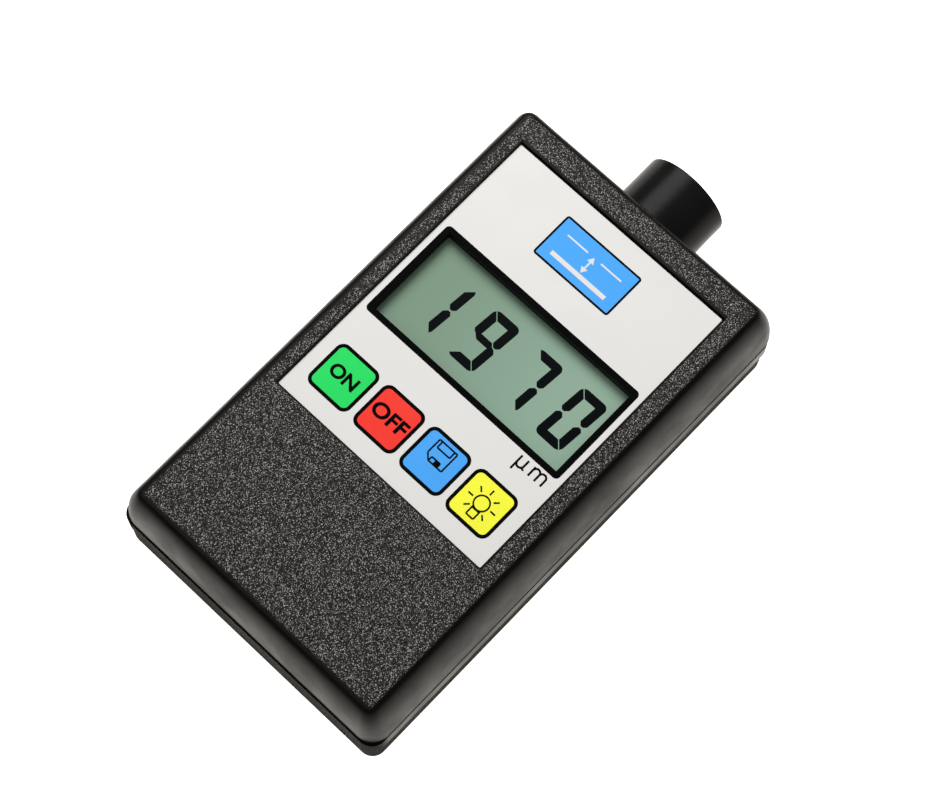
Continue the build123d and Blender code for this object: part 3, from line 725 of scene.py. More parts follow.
class Finishes:
    """Every finish on the gauge, by the record's slot names."""

    FACE = FaceFinish("case_black", (0.0030, 0.0029, 0.0028), roughness=0.40, grain_height=0.002, grain_size=0.16,
                      specular=0.072, sheen_tint=(1.0, 0.93, 0.84))
    # The tray's grain carries dimmer painted glints than the face's.
    TRAY = TrayFinish("case_black", (0.0042, 0.0041, 0.0040), roughness=0.42, grain_height=0.002, grain_size=0.16,
                      specular=0.18, sheen_tint=(1.0, 0.93, 0.84), grained_roughness=0.85, pebble_height=0.12,
                      painted_glint_colour=(0.03, 0.029, 0.028), wear="tray")
    FILM = Finish("faceplate_film", (0.7505, 0.743, 0.716), roughness=0.50, wander=0.012, wander_size=9.0,
                  grain_size=0.16, grain_height=0.003, specular=0.4)
    INK_BLACK = Finish("ink_black", (0.0018, 0.0016, 0.0016), roughness=0.5, grain_size=0.16, specular=0.015)
    INK_GREEN = ink("ink_green", (0.011, 0.73, 0.12))
    INK_RED = ink("ink_red", (0.94, 0.035, 0.020))
    INK_BLUE = ink("ink_blue", (0.062, 0.39, 0.95))
    INK_YELLOW = ink("ink_yellow", (0.97, 0.975, 0.045))
    # The cell's colour at its left end, from which it is painted lighter towards the right.
    GLASS = CellFinish("display_glass", (0.204, 0.311, 0.226), roughness=0.22, wander=0.05, wander_size=12.0,
                       gloss_spread=0.02, grain_size=0.3, grain_height=0.0006, specular=0.04)
    SEGMENTS = Finish("display_segments", (0.0018, 0.0030, 0.0036), roughness=0.30, gloss_spread=0.02,
                      grain_height=0.0006, specular=0.015)
    PROBE = LinedFinish("probe_black", (0.006, 0.006, 0.006), roughness=0.28, gloss_spread=0.03,
                        grain_height=0.0008, specular=0.07, line_pitch=0.35, line_height=0.0010)
    STEEL = LinedFinish("core_steel", (0.62, 0.61, 0.60), roughness=0.25, metallic=1.0, line_pitch=0.2)
    TIN = Finish("tinned_pins", (0.75, 0.74, 0.72), roughness=0.28, metallic=1.0, grain_height=0.001)
    SCREW = Finish("screw_steel", (0.52, 0.52, 0.50), roughness=0.34, metallic=1.0, grain_height=0.002)
    COPPER = LinedFinish("winding_copper", (0.70, 0.27, 0.10), roughness=0.3, metallic=1.0, coat=0.6,
                         line_pitch=0.3, line_height=0.006)
    BOARD = BoardFinish("board_green", (0.010, 0.105, 0.040), roughness=0.35, coat=0.4)
    COMPONENT = Finish("component_black", (0.022, 0.022, 0.024), roughness=0.55, grain_height=0.006)
    SLEEVE = Finish("capacitor_sleeve", (0.020, 0.035, 0.16), roughness=0.32, coat=0.3)
    BACKLIGHT = Finish("backlight_white", (0.74, 0.82, 0.74), roughness=0.35, wander=0.03)
    NYLON = Finish("former_white", (0.80, 0.79, 0.74), roughness=0.5, wander=0.04)
    JACKET = Finish("battery_jacket", (0.030, 0.030, 0.034), roughness=0.30, coat=0.5, wander=0.2)
    COPPER_BAND = Finish("winding_copper", (0.62, 0.30, 0.10), roughness=0.34, wear="foil", metallic=0.9, wander=0.04)
    VINYL = Finish("snap_vinyl", (0.020, 0.020, 0.020), roughness=0.62, grain_height=0.006)
    LEAD_RED = Finish("lead_red", (0.55, 0.020, 0.015), roughness=0.38)
    LEAD_BLACK = Finish("lead_black", (0.015, 0.015, 0.015), roughness=0.38)
    LEAD_WHITE = Finish("lead_white", (0.78, 0.77, 0.74), roughness=0.38)
    PLUNGER = Finish("plunger_grey", (0.16, 0.16, 0.165), roughness=0.5)


def dress(piece: Piece, finish: Finish, body: str | None, nodes: Sequence[str] = ()) -> Piece:
    """Gives a new piece its material and body, and hides the CAD nodes that it stands for.

    Args:
        piece: the finished mesh object.
        finish: its finish.
        body: the body that it rides on, or None to leave it unattached.
        nodes: the CAD nodes that it stands for.

    Returns:
        The piece.
    """
    piece.data.materials.clear()
    piece.data.materials.append(finish.material())
    if body is not None:
        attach(piece, body)
    if nodes:
        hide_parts(*nodes)
    LOG.info("piece %s", piece.name)
    return piece


def dress_node(node: str, finish: Finish) -> None:
    """Gives a CAD node that stays in view its material."""
    shown = frame["nodes"][node]
    shown.data.materials.clear()
    shown.data.materials.append(finish.material())
    LOG.info("node %s", node)


class Recipe:
    """Geometry Nodes tree in millimetres for one repeated piece, with a named input for each size."""

    def __init__(self, name: str, sizes: dict[str, float | int]) -> None:
        """Starts the tree.

        Args:
            name: the name of the piece that it makes.
            sizes: each input's name and value.
        """
        self.name = name
        self.sizes = sizes
        self.tree = bpy.data.node_groups.new(f"{name}_recipe", "GeometryNodeTree")
        self.graph = Graph(self.tree)
        for key, value in sizes.items():
            kind = "NodeSocketInt" if isinstance(value, int) else "NodeSocketFloat"
            self.tree.interface.new_socket(key, in_out="INPUT", socket_type=kind)
        self.tree.interface.new_socket("Finish", in_out="INPUT", socket_type="NodeSocketMaterial")
        self.tree.interface.new_socket("Geometry", in_out="OUTPUT", socket_type="NodeSocketGeometry")
        self.inputs = self.graph.add("NodeGroupInput").outputs

    def vector(self, x: object = 0.0, y: object = 0.0, z: object = 0.0) -> Socket:
        """Vector of three numbers or sockets."""
        return self.graph.add("ShaderNodeCombineXYZ", {0: x, 1: y, 2: z}).outputs[0]

    def moved(self, shape: Socket, place: Socket,
              turn: tuple[float, float, float] = (0.0, 0.0, 0.0)) -> Socket:
        """Shape turned by three angles, then moved."""
        inputs = {"Geometry": shape, "Translation": place, "Rotation": turn}
        return self.graph.add("GeometryNodeTransform", inputs).outputs[0]

    def frustum(self, low: object, high: object, depth: object, base: object, sides: int = 36) -> Socket:
        """Closed cone frustum that stands on a height.

        Args:
            low: radius at its base.
            high: radius at its top.
            depth: its height.
            base: height of its base.
            sides: points round it.

        Returns:
            Its mesh.
        """
        inputs = {"Vertices": sides, "Radius Bottom": low, "Radius Top": high, "Depth": depth}
        shape = self.graph.add("GeometryNodeMeshCone", inputs, fill_type="NGON").outputs["Mesh"]
        return self.moved(shape, self.vector(z=base))

    def block(self, size: Socket, place: Socket) -> Socket:
        """Box of a size round a place."""
        shape = self.graph.add("GeometryNodeMeshCube", {"Size": size}).outputs["Mesh"]
        return self.moved(shape, place)

    def merged(self, shapes: Sequence[Socket]) -> Socket:
        """Shapes in one geometry."""
        node = self.graph.add("GeometryNodeJoinGeometry")
        for shape in shapes:
            self.tree.links.new(shape, node.inputs[0])
        return node.outputs[0]

    def carved(self, shape: Socket, cutters: Sequence[Socket]) -> Socket:
        """Shape with the cutters taken out of it."""
        node = self.graph.add("GeometryNodeMeshBoolean", {0: shape}, operation="DIFFERENCE")
        for cutter in cutters:
            self.tree.links.new(cutter, node.inputs[1])
        return node.outputs[0]

    def helix(self, radius: object, wire: object, turns: object, length: object, steps: int,
              sides: int) -> Socket:
        """Wire wound round the Z axis, up from the origin.

        Args:
            radius: radius of the wire's middle.
            wire: the wire's own radius.
            turns: how many turns.
            length: height of the winding.
            steps: straight steps in a turn.
            sides: sides of the wire.

        Returns:
            Its mesh.
        """
        inputs = {"Resolution": steps, "Rotations": turns, "Start Radius": radius, "End Radius": radius,
                  "Height": length}
        path = self.graph.add("GeometryNodeCurveSpiral", inputs).outputs[0]
        section = self.graph.add("GeometryNodeCurvePrimitiveCircle", {"Resolution": sides, "Radius": wire}).outputs[0]
        swept = {"Curve": path, "Profile Curve": section, "Fill Caps": True}
        return self.graph.add("GeometryNodeCurveToMesh", swept).outputs[0]

    def at_grid(self, shape: Socket, columns: object, rows: object, width: object, depth: object,
                middle: Socket) -> Socket:
        """Copies of a shape on the crossings of a grid.

        Args:
            shape: what is copied.
            columns: crossings along X.
            rows: crossings along Y.
            width: the grid's size along X.
            depth: its size along Y.
            middle: its middle.

        Returns:
            The copies, as instances.
        """
        inputs = {"Vertices X": columns, "Vertices Y": rows, "Size X": width, "Size Y": depth}
        grid = self.moved(self.graph.add("GeometryNodeMeshGrid", inputs).outputs["Mesh"], middle)
        return self.graph.add("GeometryNodeInstanceOnPoints", {"Points": grid, "Instance": shape}).outputs[0]

    def piece(self, shape: Socket, finish: Finish) -> Piece:
        """Ends the tree, runs it once and keeps the result as a plain mesh.

        Args:
            shape: the tree's last shape, in millimetres.
            finish: the finish that it gets.

        Returns:
            The mesh object.
        """
        real = self.graph.add("GeometryNodeRealizeInstances", {0: shape}).outputs[0]
        scaled = self.graph.add("GeometryNodeTransform", {"Geometry": real, "Scale": (MM, MM, MM)}).outputs[0]
        inputs = {"Geometry": scaled, "Material": self.inputs["Finish"]}
        dressed = self.graph.add("GeometryNodeSetMaterial", inputs).outputs[0]
        self.tree.links.new(dressed, self.graph.add("NodeGroupOutput").inputs[0])
        holder = linked(f"{self.name}_holder", bpy.data.meshes.new(f"{self.name}_holder"))
        modifier = holder.modifiers.new("recipe", "NODES")
        modifier.node_group = self.tree
        values = {**self.sizes, "Finish": finish.material()}
        for item in self.tree.interface.items_tree:
            if item.in_out == "INPUT":
                modifier[item.identifier] = values[item.name]
        mesh = bpy.data.meshes.new_from_object(holder.evaluated_get(bpy.context.evaluated_depsgraph_get()))
        bpy.data.objects.remove(holder)
        mesh.name = self.name
        made = linked(self.name, mesh)
        soften(made)
        return made


# The gauge's sub-assemblies


@dataclass
class FrontShell:
    """Upper half of the case: crowned walls, rolled top edge, recess and display window."""

    half_width: float = 32.05
    low_y: float = -58.6
    high_y: float = 49.55
    seam: float = 11.6
    seam_gap: float = 0.2
    top: float = 25.4
    corner: float = 3.8
    corner_shrink: float = 0.6
    foot_lean: float = 3.0
    crown_radius: float = 40.0
    top_round: float = 1.5
    foot_round: float = 0.18
    tongue_inset: float = 1.0
    wall: float = 2.0
    wall_steps: int = 30
    round_steps: int = 4
    inner_draft: float = 11.0
    rim_wall: float = 1.2
    overlap: float = 0.2
    right_reach: float = 3.4
    tail_reach: float = 3.1
    recess_centre: Point = (0.12, 8.4)
    recess_half: Point = (25.25, 32.25)
    recess_floor: float = 24.65
    recess_corner: float = 0.3
    recess_round: float = 0.12
    window_centre: Point = (0.0, 8.55)
    window_half: Point = (22.75, 9.95)
    window_corner: float = 0.3
    window_foot: float = 22.4
    key_hole: float = 4.0
    key_hole_y: float = -14.85
    key_pitch: float = 11.42
    case_posts: Sequence[Point] = ((-26.2, -22.5), (26.2, -22.5), (-26.2, 42.0), (26.2, 42.0))
    board_posts: Sequence[Point] = ((-25.0, -15.9), (25.0, -15.9), (-25.0, 29.8), (25.0, 29.8))
    case_post: Point = (3.25, 1.45)
    board_post: Point = (2.6, 1.1)
    board_top: float = 15.5
    probe_axis: Point = (0.9, 11.6)
    probe_hole: float = 9.1
    saddle: Point = (43.1, 45.1)
    saddle_half: float = 12.0
    saddle_hole: float = 7.85

    def outline(self, inset: float, radius: float, right: float = 0.0, tail: float = 0.0) -> list[Point]:
        """Case outline, moved in by inset.

        Args:
            inset: distance in from the widest outline.
            radius: corner radius.
            right: how much less the right side is moved in.
            tail: how much less the tail side is moved in.

        Returns:
            The outline's points.
        """
        centre = (right / 2, (self.low_y + self.high_y - tail) / 2)
        half = (self.half_width - inset + right / 2, (self.high_y - self.low_y + tail) / 2 - inset)
        return rounded_outline(centre, half, radius)

    def crown_inset(self, height: float) -> float:
        """How far the crowned wall and its rolled top are in from the widest outline, at a height."""
        foot = math.radians(self.foot_lean)
        lift = height - (self.seam - self.crown_radius * math.sin(foot))
        roll_lift = lift - (height - (self.top - self.top_round))
        reach = self.crown_radius - self.top_round
        shoulder_lift = roll_lift * self.crown_radius / reach
        if lift <= shoulder_lift:
            return self.crown_radius * math.cos(foot) - math.sqrt(self.crown_radius**2 - lift**2)
        roll_out = self.crown_radius * math.cos(foot) - math.sqrt(reach**2 - roll_lift**2)
        return roll_out - math.sqrt(max(0.0, self.top_round**2 - (lift - roll_lift) ** 2))

    def rounder_inset(self, height: float, reach: float) -> float:
        """The same for the fuller walls on the right and at the tail, which reach in less at the top."""
        share = (height - self.seam - self.seam_gap) / (self.top - self.seam - self.seam_gap)
        return reach * (1 - math.sqrt(max(0.0, 1 - share**2)))

    def wall_rings(self) -> list[Ring]:
        """Rings up the crowned walls and over the roll, from the seam to the face."""
        start = self.seam + self.seam_gap + self.foot_round
        foot = math.radians(self.foot_lean)
        lean = math.asin((self.top - self.top_round - self.seam) / self.crown_radius + math.sin(foot))
        shoulder = self.crown_radius * (math.cos(foot) - math.cos(lean))
        rings = []
        for step in range(self.wall_steps + 1):
            height = start + (self.top - start) * math.sin(math.pi / 2 * step / self.wall_steps)
            inset = self.crown_inset(height)
            radius = self.corner - self.corner_shrink * min(inset, shoulder) - max(0.0, inset - shoulder)
            right = max(0.0, inset - self.rounder_inset(height, self.right_reach))
            tail = max(0.0, inset - self.rounder_inset(height, self.tail_reach))
            rings.append(flat_ring(self.outline(inset, radius, right, tail), height))
        return rings

    def foot_rings(self) -> list[Ring]:
        """Rings from the tongue gap out to the wall's foot, with a small rounded edge."""
        height = self.seam + self.seam_gap
        rings = [flat_ring(self.outline(self.tongue_inset, self.corner - self.tongue_inset), height)]
        for step in range(self.round_steps):
            angle = math.pi / 2 * step / self.round_steps
            inset = self.foot_round * (1 - math.sin(angle))
            rise = self.foot_round * (1 - math.cos(angle))
            rings.append(flat_ring(self.outline(inset, self.corner - inset), height + rise))
        return rings

    def opening_rings(self) -> list[Ring]:
        """Rings from the recess's lip down through the display window."""
        rings = []
        for step in range(self.round_steps + 1):
            angle = math.pi / 2 * step / self.round_steps
            grow = self.recess_round * (1 - math.sin(angle))
            half = (self.recess_half[0] + grow, self.recess_half[1] + grow)
            height = self.top - self.recess_round * (1 - math.cos(angle))
            rings.append(flat_ring(rounded_outline(self.recess_centre, half, self.recess_corner + grow), height))
        floor = rounded_outline(self.recess_centre, self.recess_half, self.recess_corner)
        window = rounded_outline(self.window_centre, self.window_half, self.window_corner)
        rings.append(flat_ring(floor, self.recess_floor))
        rings.append(flat_ring(window, self.recess_floor))
        rings.append(flat_ring(window, self.window_foot))
        return rings

    def inner_rings(self) -> list[Ring]:
        """Rings that close the shell along its inside."""
        rim_half = (self.window_half[0] + self.rim_wall, self.window_half[1] + self.rim_wall)
        rim = rounded_outline(self.window_centre, rim_half, self.window_corner)
        roof = self.top - self.wall
        roof_inset = self.wall + (roof - self.seam) * math.tan(math.radians(self.inner_draft))
        cavity_corner = self.corner - self.wall
        return [
            flat_ring(rim, self.window_foot),
            flat_ring(rim, roof),
            flat_ring(self.outline(roof_inset, cavity_corner), roof),
            flat_ring(self.outline(self.wall, cavity_corner), self.seam + self.seam_gap),
        ]

    def holes(self) -> list[Piece]:
        """Cutters for the four key holes and for the probe's way through the nose."""
        keys = [circle(((column - 1.5) * self.key_pitch, self.key_hole_y), self.key_hole) for column in range(4)]
        past_roof, past_floor, past_nose = 0.5, 0.1, 1.0
        nose = upright(flat_solid("probe_cutter", [circle(self.probe_axis, self.probe_hole, steps=96)],
                                  -self.high_y - past_nose, -self.saddle[1] - self.overlap))
        low, high = self.top - self.wall - past_roof, self.recess_floor + past_floor
        return [flat_solid("key_cutters", keys, low, high), nose]

    def posts(self) -> list[Piece]:
        """Screw posts under the roof, and the saddle that grips the probe's groove."""
        roof = self.top - self.wall + self.overlap
        case = [circle(place, radius) for place in self.case_posts for radius in self.case_post]
        board = [circle(place, radius) for place in self.board_posts for radius in self.board_post]
        x, z = self.probe_axis
        sides = [(x - self.saddle_half, z), (x - self.saddle_half, roof), (x + self.saddle_half, roof),
                 (x + self.saddle_half, z)]
        saddle = [*arc(self.probe_axis, self.saddle_hole, 0, 180, steps=32), *sides]
        return [
            flat_solid("case_posts", case, self.seam, roof),
            flat_solid("board_posts", board, self.board_top, roof),
            upright(flat_solid("saddle", [saddle], -self.saddle[1], -self.saddle[0])),
        ]

    def build(self) -> None:
        """Makes the shell and stands it in for its CAD node."""
        rings = [*self.foot_rings(), *self.wall_rings(), *self.opening_rings(), *self.inner_rings()]
        walls = skinned("front_walls", rings, looped=True)
        cut_out(walls, self.holes())
        shell = joined("front_case", [walls, *self.posts()])
        soften(shell)
        dress(shell, Finishes.FACE, Body.CASE.value, ["front_shell"])


@dataclass
class RearShell:
    """Lower half of the case and its battery door, kept in their CAD form."""

    def build(self) -> None:
        """Copies both nodes with smooth shading."""
        dress(smooth_copy("rear_shell", "rear_case"), Finishes.TRAY, Body.CASE.value, ["rear_shell"])
        dress(smooth_copy("battery_door", "sliding_door"), Finishes.TRAY, Body.DOOR.value, ["battery_door"])


@dataclass
class Faceplate:
    """Printed film in the recess: plate, display frame, plain panel and unit."""

    low: float = 24.65
    high: float = 24.90
    print_rise: float = 0.02
    layer: float = 0.005
    half_width: float = 25.0
    low_y: float = -23.63
    high_y: float = 40.27
    corner: float = 0.25
    frame_centre: Point = (0.05, 8.52)
    frame_half: Point = (23.85, 11.15)
    frame_corner: float = 0.95
    window_centre: Point = (0.05, 8.57)
    window_half: Point = (22.6, 9.95)
    window_corner: float = 0.15
    panel_centre: Point = (0.1, 31.2)
    panel_half: Point = (9.2, 4.9)
    panel_line: float = 0.42
    panel_corner: float = 0.6
    key_pitch: float = 11.42
    key_y: float = -14.85
    key_half: float = 5.07
    key_line: float = 0.70
    key_corner: float = 1.75
    patch_half: float = 4.8
    unit_left: float = 16.30
    unit_base: float = -5.46
    unit_x_height: float = 2.14
    unit_tail: float = 1.1
    unit_hook: float = 0.5
    unit_micro: float = 1.57
    unit_gap: float = 1.65
    unit_metre: float = 2.93
    unit_line: float = 0.42
    unit_step: float = 0.0004

    def key_centre(self, key: Key) -> Point:
        """Middle of one key."""
        return ((key.value - 1.5) * self.key_pitch, self.key_y)

    def patch_outline(self, key: Key, half: float) -> list[Point]:
        """Rounded square round one key's middle."""
        radius = self.key_corner - (self.key_half - half)
        return rounded_outline(self.key_centre(key), (half, half), radius)

    def plate(self) -> None:
        """Film with places cut for the display frame and the keys."""
        middle = (0.0, (self.low_y + self.high_y) / 2)
        edge = rounded_outline(middle, (self.half_width, (self.high_y - self.low_y) / 2), self.corner, steps=4)
        frame_edge = rounded_outline(self.frame_centre, self.frame_half, self.frame_corner)
        keys = [self.patch_outline(key, self.patch_half) for key in Key]
        film = flat_solid("film_plate", [edge, frame_edge, *keys], self.low, self.high)
        dress(film, Finishes.FILM, Body.CASE.value, ["faceplate"])

    def display_frame(self) -> None:
        """Black printed frame round the window."""
        outer = rounded_outline(self.frame_centre, self.frame_half, self.frame_corner)
        inner = rounded_outline(self.window_centre, self.window_half, self.window_corner)
        ring = flat_solid("display_frame", [outer, inner], self.low, self.high + self.print_rise)
        dress(ring, Finishes.INK_BLACK, Body.CASE.value)

    def panel(self) -> None:
        """Plain coloured panel with a thin outline and a layer pictogram."""
        low, high = self.high, self.high + self.print_rise
        inner_half = (self.panel_half[0] - self.panel_line, self.panel_half[1] - self.panel_line)
        outer = rounded_outline(self.panel_centre, self.panel_half, self.panel_corner)
        inner = rounded_outline(self.panel_centre, inner_half, self.panel_corner - self.panel_line)
        dress(flat_solid("panel_outline", [outer, inner], low, high), Finishes.INK_BLACK, Body.CASE.value)
        dress(flat_solid("panel_fill", [inner], low, high - self.layer), Finishes.INK_BLUE, Body.CASE.value)
        marks = flat_solid("panel_marks", self.layer_marks(), high - self.layer, high + self.layer)
        dress(marks, Finishes.FILM, Body.CASE.value)

    def layer_marks(self) -> list[list[Point]]:
        """Pictogram of a coating on its base, with a double arrow across the coating."""
        x, y = self.panel_centre
        half = self.panel_half[0] * 0.72
        base_y, base_line, coat_y, coat_line, coat_gap = -2.6, 0.9, 1.9, 0.32, 1.6
        tip, head, shaft = 1.95, 0.75, 0.17
        lines = [
            stroke((x - half, y + base_y), (x + half, y + base_y), base_line),
            stroke((x - half, y + coat_y), (x - coat_gap, y + coat_y), coat_line),
            stroke((x + coat_gap, y + coat_y), (x + half, y + coat_y), coat_line),
        ]
        side = [(0, tip), (-head, head), (-shaft, head), (-shaft, -head), (-head, -head)]
        arrow = [(x + way * across, y + way * along) for way in (1, -1) for across, along in side]
        return [*lines, arrow]

    def unit(self) -> None:
        """The unit under the display, in thin strokes whose tops lie a little apart in height."""
        low, high = self.high, self.high + self.print_rise
        x_height, tail, line = self.unit_x_height, self.unit_tail, self.unit_line
        micro = [
            stroke((0.0, -tail), (0.0, x_height), line),
            *self.arch(0.0, self.unit_micro, x_height, line, -1),
            stroke((self.unit_micro, 0.0), (self.unit_micro, x_height), line),
            stroke((self.unit_micro, line / 4), (self.unit_micro + self.unit_hook, line / 4), line * 0.75),
        ]
        first = self.unit_gap + self.unit_micro
        half = self.unit_metre / 2
        metre = [stroke((first, 0.0), (first, x_height), line)]
        for step in range(2):
            metre += self.arch(first + half * step, half, x_height, line, 1)
        placed = []
        for number, outline in enumerate([*micro, *metre]):
            shifted = [(x + self.unit_left, y + self.unit_base) for x, y in outline]
            placed.append(flat_solid(f"unit_{number}", [shifted], low, high - self.unit_step * number))
        word = joined("unit_print", placed)
        dress(word, Finishes.INK_BLACK, Body.CASE.value)

    def arch(self, left: float, width: float, height: float, line: float, way: int) -> list[list[Point]]:
        """Half-round of a letter with its outer leg.

        Args:
            left: the left leg's place.
            width: distance between the legs.
            height: the letter's height.
            line: stroke width.
            way: 1 where it is open below, as in m, and -1 where it is open above, as in µ.

        Returns:
            Outlines of the arch and of the leg on its right.
        """
        radius = width / 2
        middle_y = height - radius if way > 0 else radius
        middle = (left + radius, middle_y)
        outer, inner = (arc(middle, radius + aside, 0, way * 180, steps=14) for aside in (line / 2, -line / 2))
        foot = 0.0 if way > 0 else height
        leg = stroke((left + width, middle_y), (left + width, foot), line)
        return [[*outer, *reversed(inner)], leg]

    def key_outlines(self) -> None:
        """Black outline of each key, over the joint between film and key."""
        inner_half = self.key_half - self.key_line
        for key in Key:
            rings = [self.patch_outline(key, self.key_half), self.patch_outline(key, inner_half)]
            name = f"{key.name.lower()}_key_outline"
            line = flat_solid(name, rings, self.high, self.high + self.print_rise)
            dress(line, Finishes.INK_BLACK, Body.CASE.value)

    def build(self) -> None:
        """Makes every fixed piece of the film."""
        self.plate()
        self.display_frame()
        self.panel()
        self.unit()
        self.key_outlines()


@dataclass
class MembraneKeys:
    """The film's four crowned key fields with their legends."""

    film: Faceplate
    crown: float = 0.06
    rings_across: int = 9
    legend_lift: float = 0.004
    legend_thick: float = 0.022
    line: float = 0.32
    word_weight: float = 0.115
    fills: dict[Key, Finish] = field(default_factory=lambda: {
        Key.ON: Finishes.INK_GREEN,
        Key.OFF: Finishes.INK_RED,
        Key.CALIBRATE: Finishes.INK_BLUE,
        Key.LIGHT: Finishes.INK_YELLOW,
    })

    def rise(self, key: Key, x: float, y: float) -> float:
        """Height of the crowned field over the flat film at one point."""
        middle_x, middle_y = self.film.key_centre(key)
        half = self.film.patch_half
        across = max(0.0, 1 - ((x - middle_x) / half) ** 2)
        along = max(0.0, 1 - ((y - middle_y) / half) ** 2)
        return self.crown * across * along

    def field(self, key: Key) -> None:
        """One coloured, crowned key field."""
        low = self.film.low
        rings = [flat_ring(self.film.patch_outline(key, self.film.patch_half * 0.1), low)]
        rings.append(flat_ring(self.film.patch_outline(key, self.film.patch_half), low))
        shares = [1 - step / self.rings_across for step in range(self.rings_across)]
        for share in shares:
            outline = self.square(key, share)
            rings.append([Vector((x, y, self.film.high + self.rise(key, x, y))) for x, y in outline])
        piece = skinned(f"{key.name.lower()}_key_field", rings, caps=True)
        soften(piece, angle=50)
        dress(piece, self.fills[key], None)
        self.flex(piece, key)

    def square(self, key: Key, share: float) -> list[Point]:
        """Rounded square at a share of the field's size."""
        middle_x, middle_y = self.film.key_centre(key)
        edge = self.film.patch_outline(key, self.film.patch_half)
        return [(middle_x + (x - middle_x) * share, middle_y + (y - middle_y) * share) for x, y in edge]

    def flex(self, piece: Piece, key: Key) -> None:
        """Bakes a piece's place into its mesh.

        Args:
            piece: a field or a legend.
            key: its key.
        """
        x, y = self.film.key_centre(key)
        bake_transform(piece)

    def legend(self, key: Key, parts: Sequence[Piece]) -> None:
        """Lays a legend's flat parts on the crowned field.

        Args:
            key: the key that carries it.
            parts: flat prints whose underside is at height zero.
        """
        piece = joined(f"{key.name.lower()}_key_legend", parts)
        for vertex in piece.data.vertices:
            x, y, z = vertex.co / MM
            base = self.film.high + self.rise(key, x, y) + self.legend_lift
            vertex.co.z = (base + z) * MM
        dress(piece, Finishes.INK_BLACK, None)
        self.flex(piece, key)

    def word(self, key: Key, words: str, height: float, spread: float) -> None:
        """Legend that is a word."""
        part = lettering(f"{words}_word", words, self.film.key_centre(key), height, 0, self.legend_thick,
                         self.word_weight, spread)
        self.legend(key, [part])

    def lines(self, key: Key, name: str, paths: Sequence[Sequence[Point]]) -> list[Piece]:
        """Flat strokes along paths that are given round a key's middle."""
        x, y = self.film.key_centre(key)
        strokes = [ends for path in paths for ends in zip(path, path[1:])]
        parts = []
        for number, (start, end) in enumerate(strokes):
            outline = stroke((x + start[0], y + start[1]), (x + end[0], y + end[1]), self.line)
            parts.append(flat_solid(f"{name}_{number}", [outline], 0, self.legend_thick))
        return parts

    def disk_legend(self) -> None:
        """Diskette pictogram: body with one cut corner, label and half-filled shutter."""
        key = Key.CALIBRATE
        left, right, top, bottom, cut = -2.15, 2.15, 3.55, -0.75, 1.1
        label_left, label_right, label_foot = left + 0.65, right - 0.65, top - 1.45
        open_left, fill_left, fill_right, shutter_top = -1.0, -0.05, 1.05, bottom + 0.95
        body = [(left, top), (right, top), (right, bottom), (left + cut, bottom), (left, bottom + cut), (left, top)]
        label = [(label_left, top), (label_left, label_foot), (label_right, label_foot), (label_right, top)]
        shutter = [(open_left, bottom), (open_left, shutter_top), (fill_right, shutter_top), (fill_right, bottom)]
        x, y = self.film.key_centre(key)
        solid = [(x + fill_left, y + bottom), (x + fill_right, y + bottom), (x + fill_right, y + shutter_top),
                 (x + fill_left, y + shutter_top)]
        parts = self.lines(key, "disk", [body, label, shutter])
        parts.append(flat_solid("disk_shutter", [solid], 0, self.legend_thick))
        self.legend(key, parts)

    def bulb_legend(self) -> None:
        """Light bulb pictogram: round glass, cap and rays."""
        key = Key.LIGHT
        radius, open_half = 1.5, math.radians(27)
        half, foot, neck, ray_start, ray_end = 0.85, -3.2, 0.25, 2.1, 3.25
        middle = self.film.key_centre(key)
        rings = [circle(middle, radius + aside, steps=40) for aside in (self.line / 2, -self.line / 2)]
        top = -radius * math.cos(open_half)
        paths = [[(-half, top), (-half, foot), (half, foot), (half, top)], [(-half, top - neck), (half, top - neck)]]
        for degrees in (0, 45, 90, 135, 180, 225, 315):
            way = Vector((math.cos(math.radians(degrees)), math.sin(math.radians(degrees))))
            paths.append([tuple(way * ray_start), tuple(way * ray_end)])
        glass = flat_solid("bulb_glass", rings, 0, self.legend_thick)
        self.legend(key, [glass, *self.lines(key, "bulb", paths)])

    def build(self) -> None:
        """Makes the four fields and their legends."""
        for key in Key:
            self.field(key)
        self.word(Key.ON, "ON", height=3.65, spread=1.06)
        self.word(Key.OFF, "OFF", height=4.0, spread=1.12)
        self.disk_legend()
        self.bulb_legend()


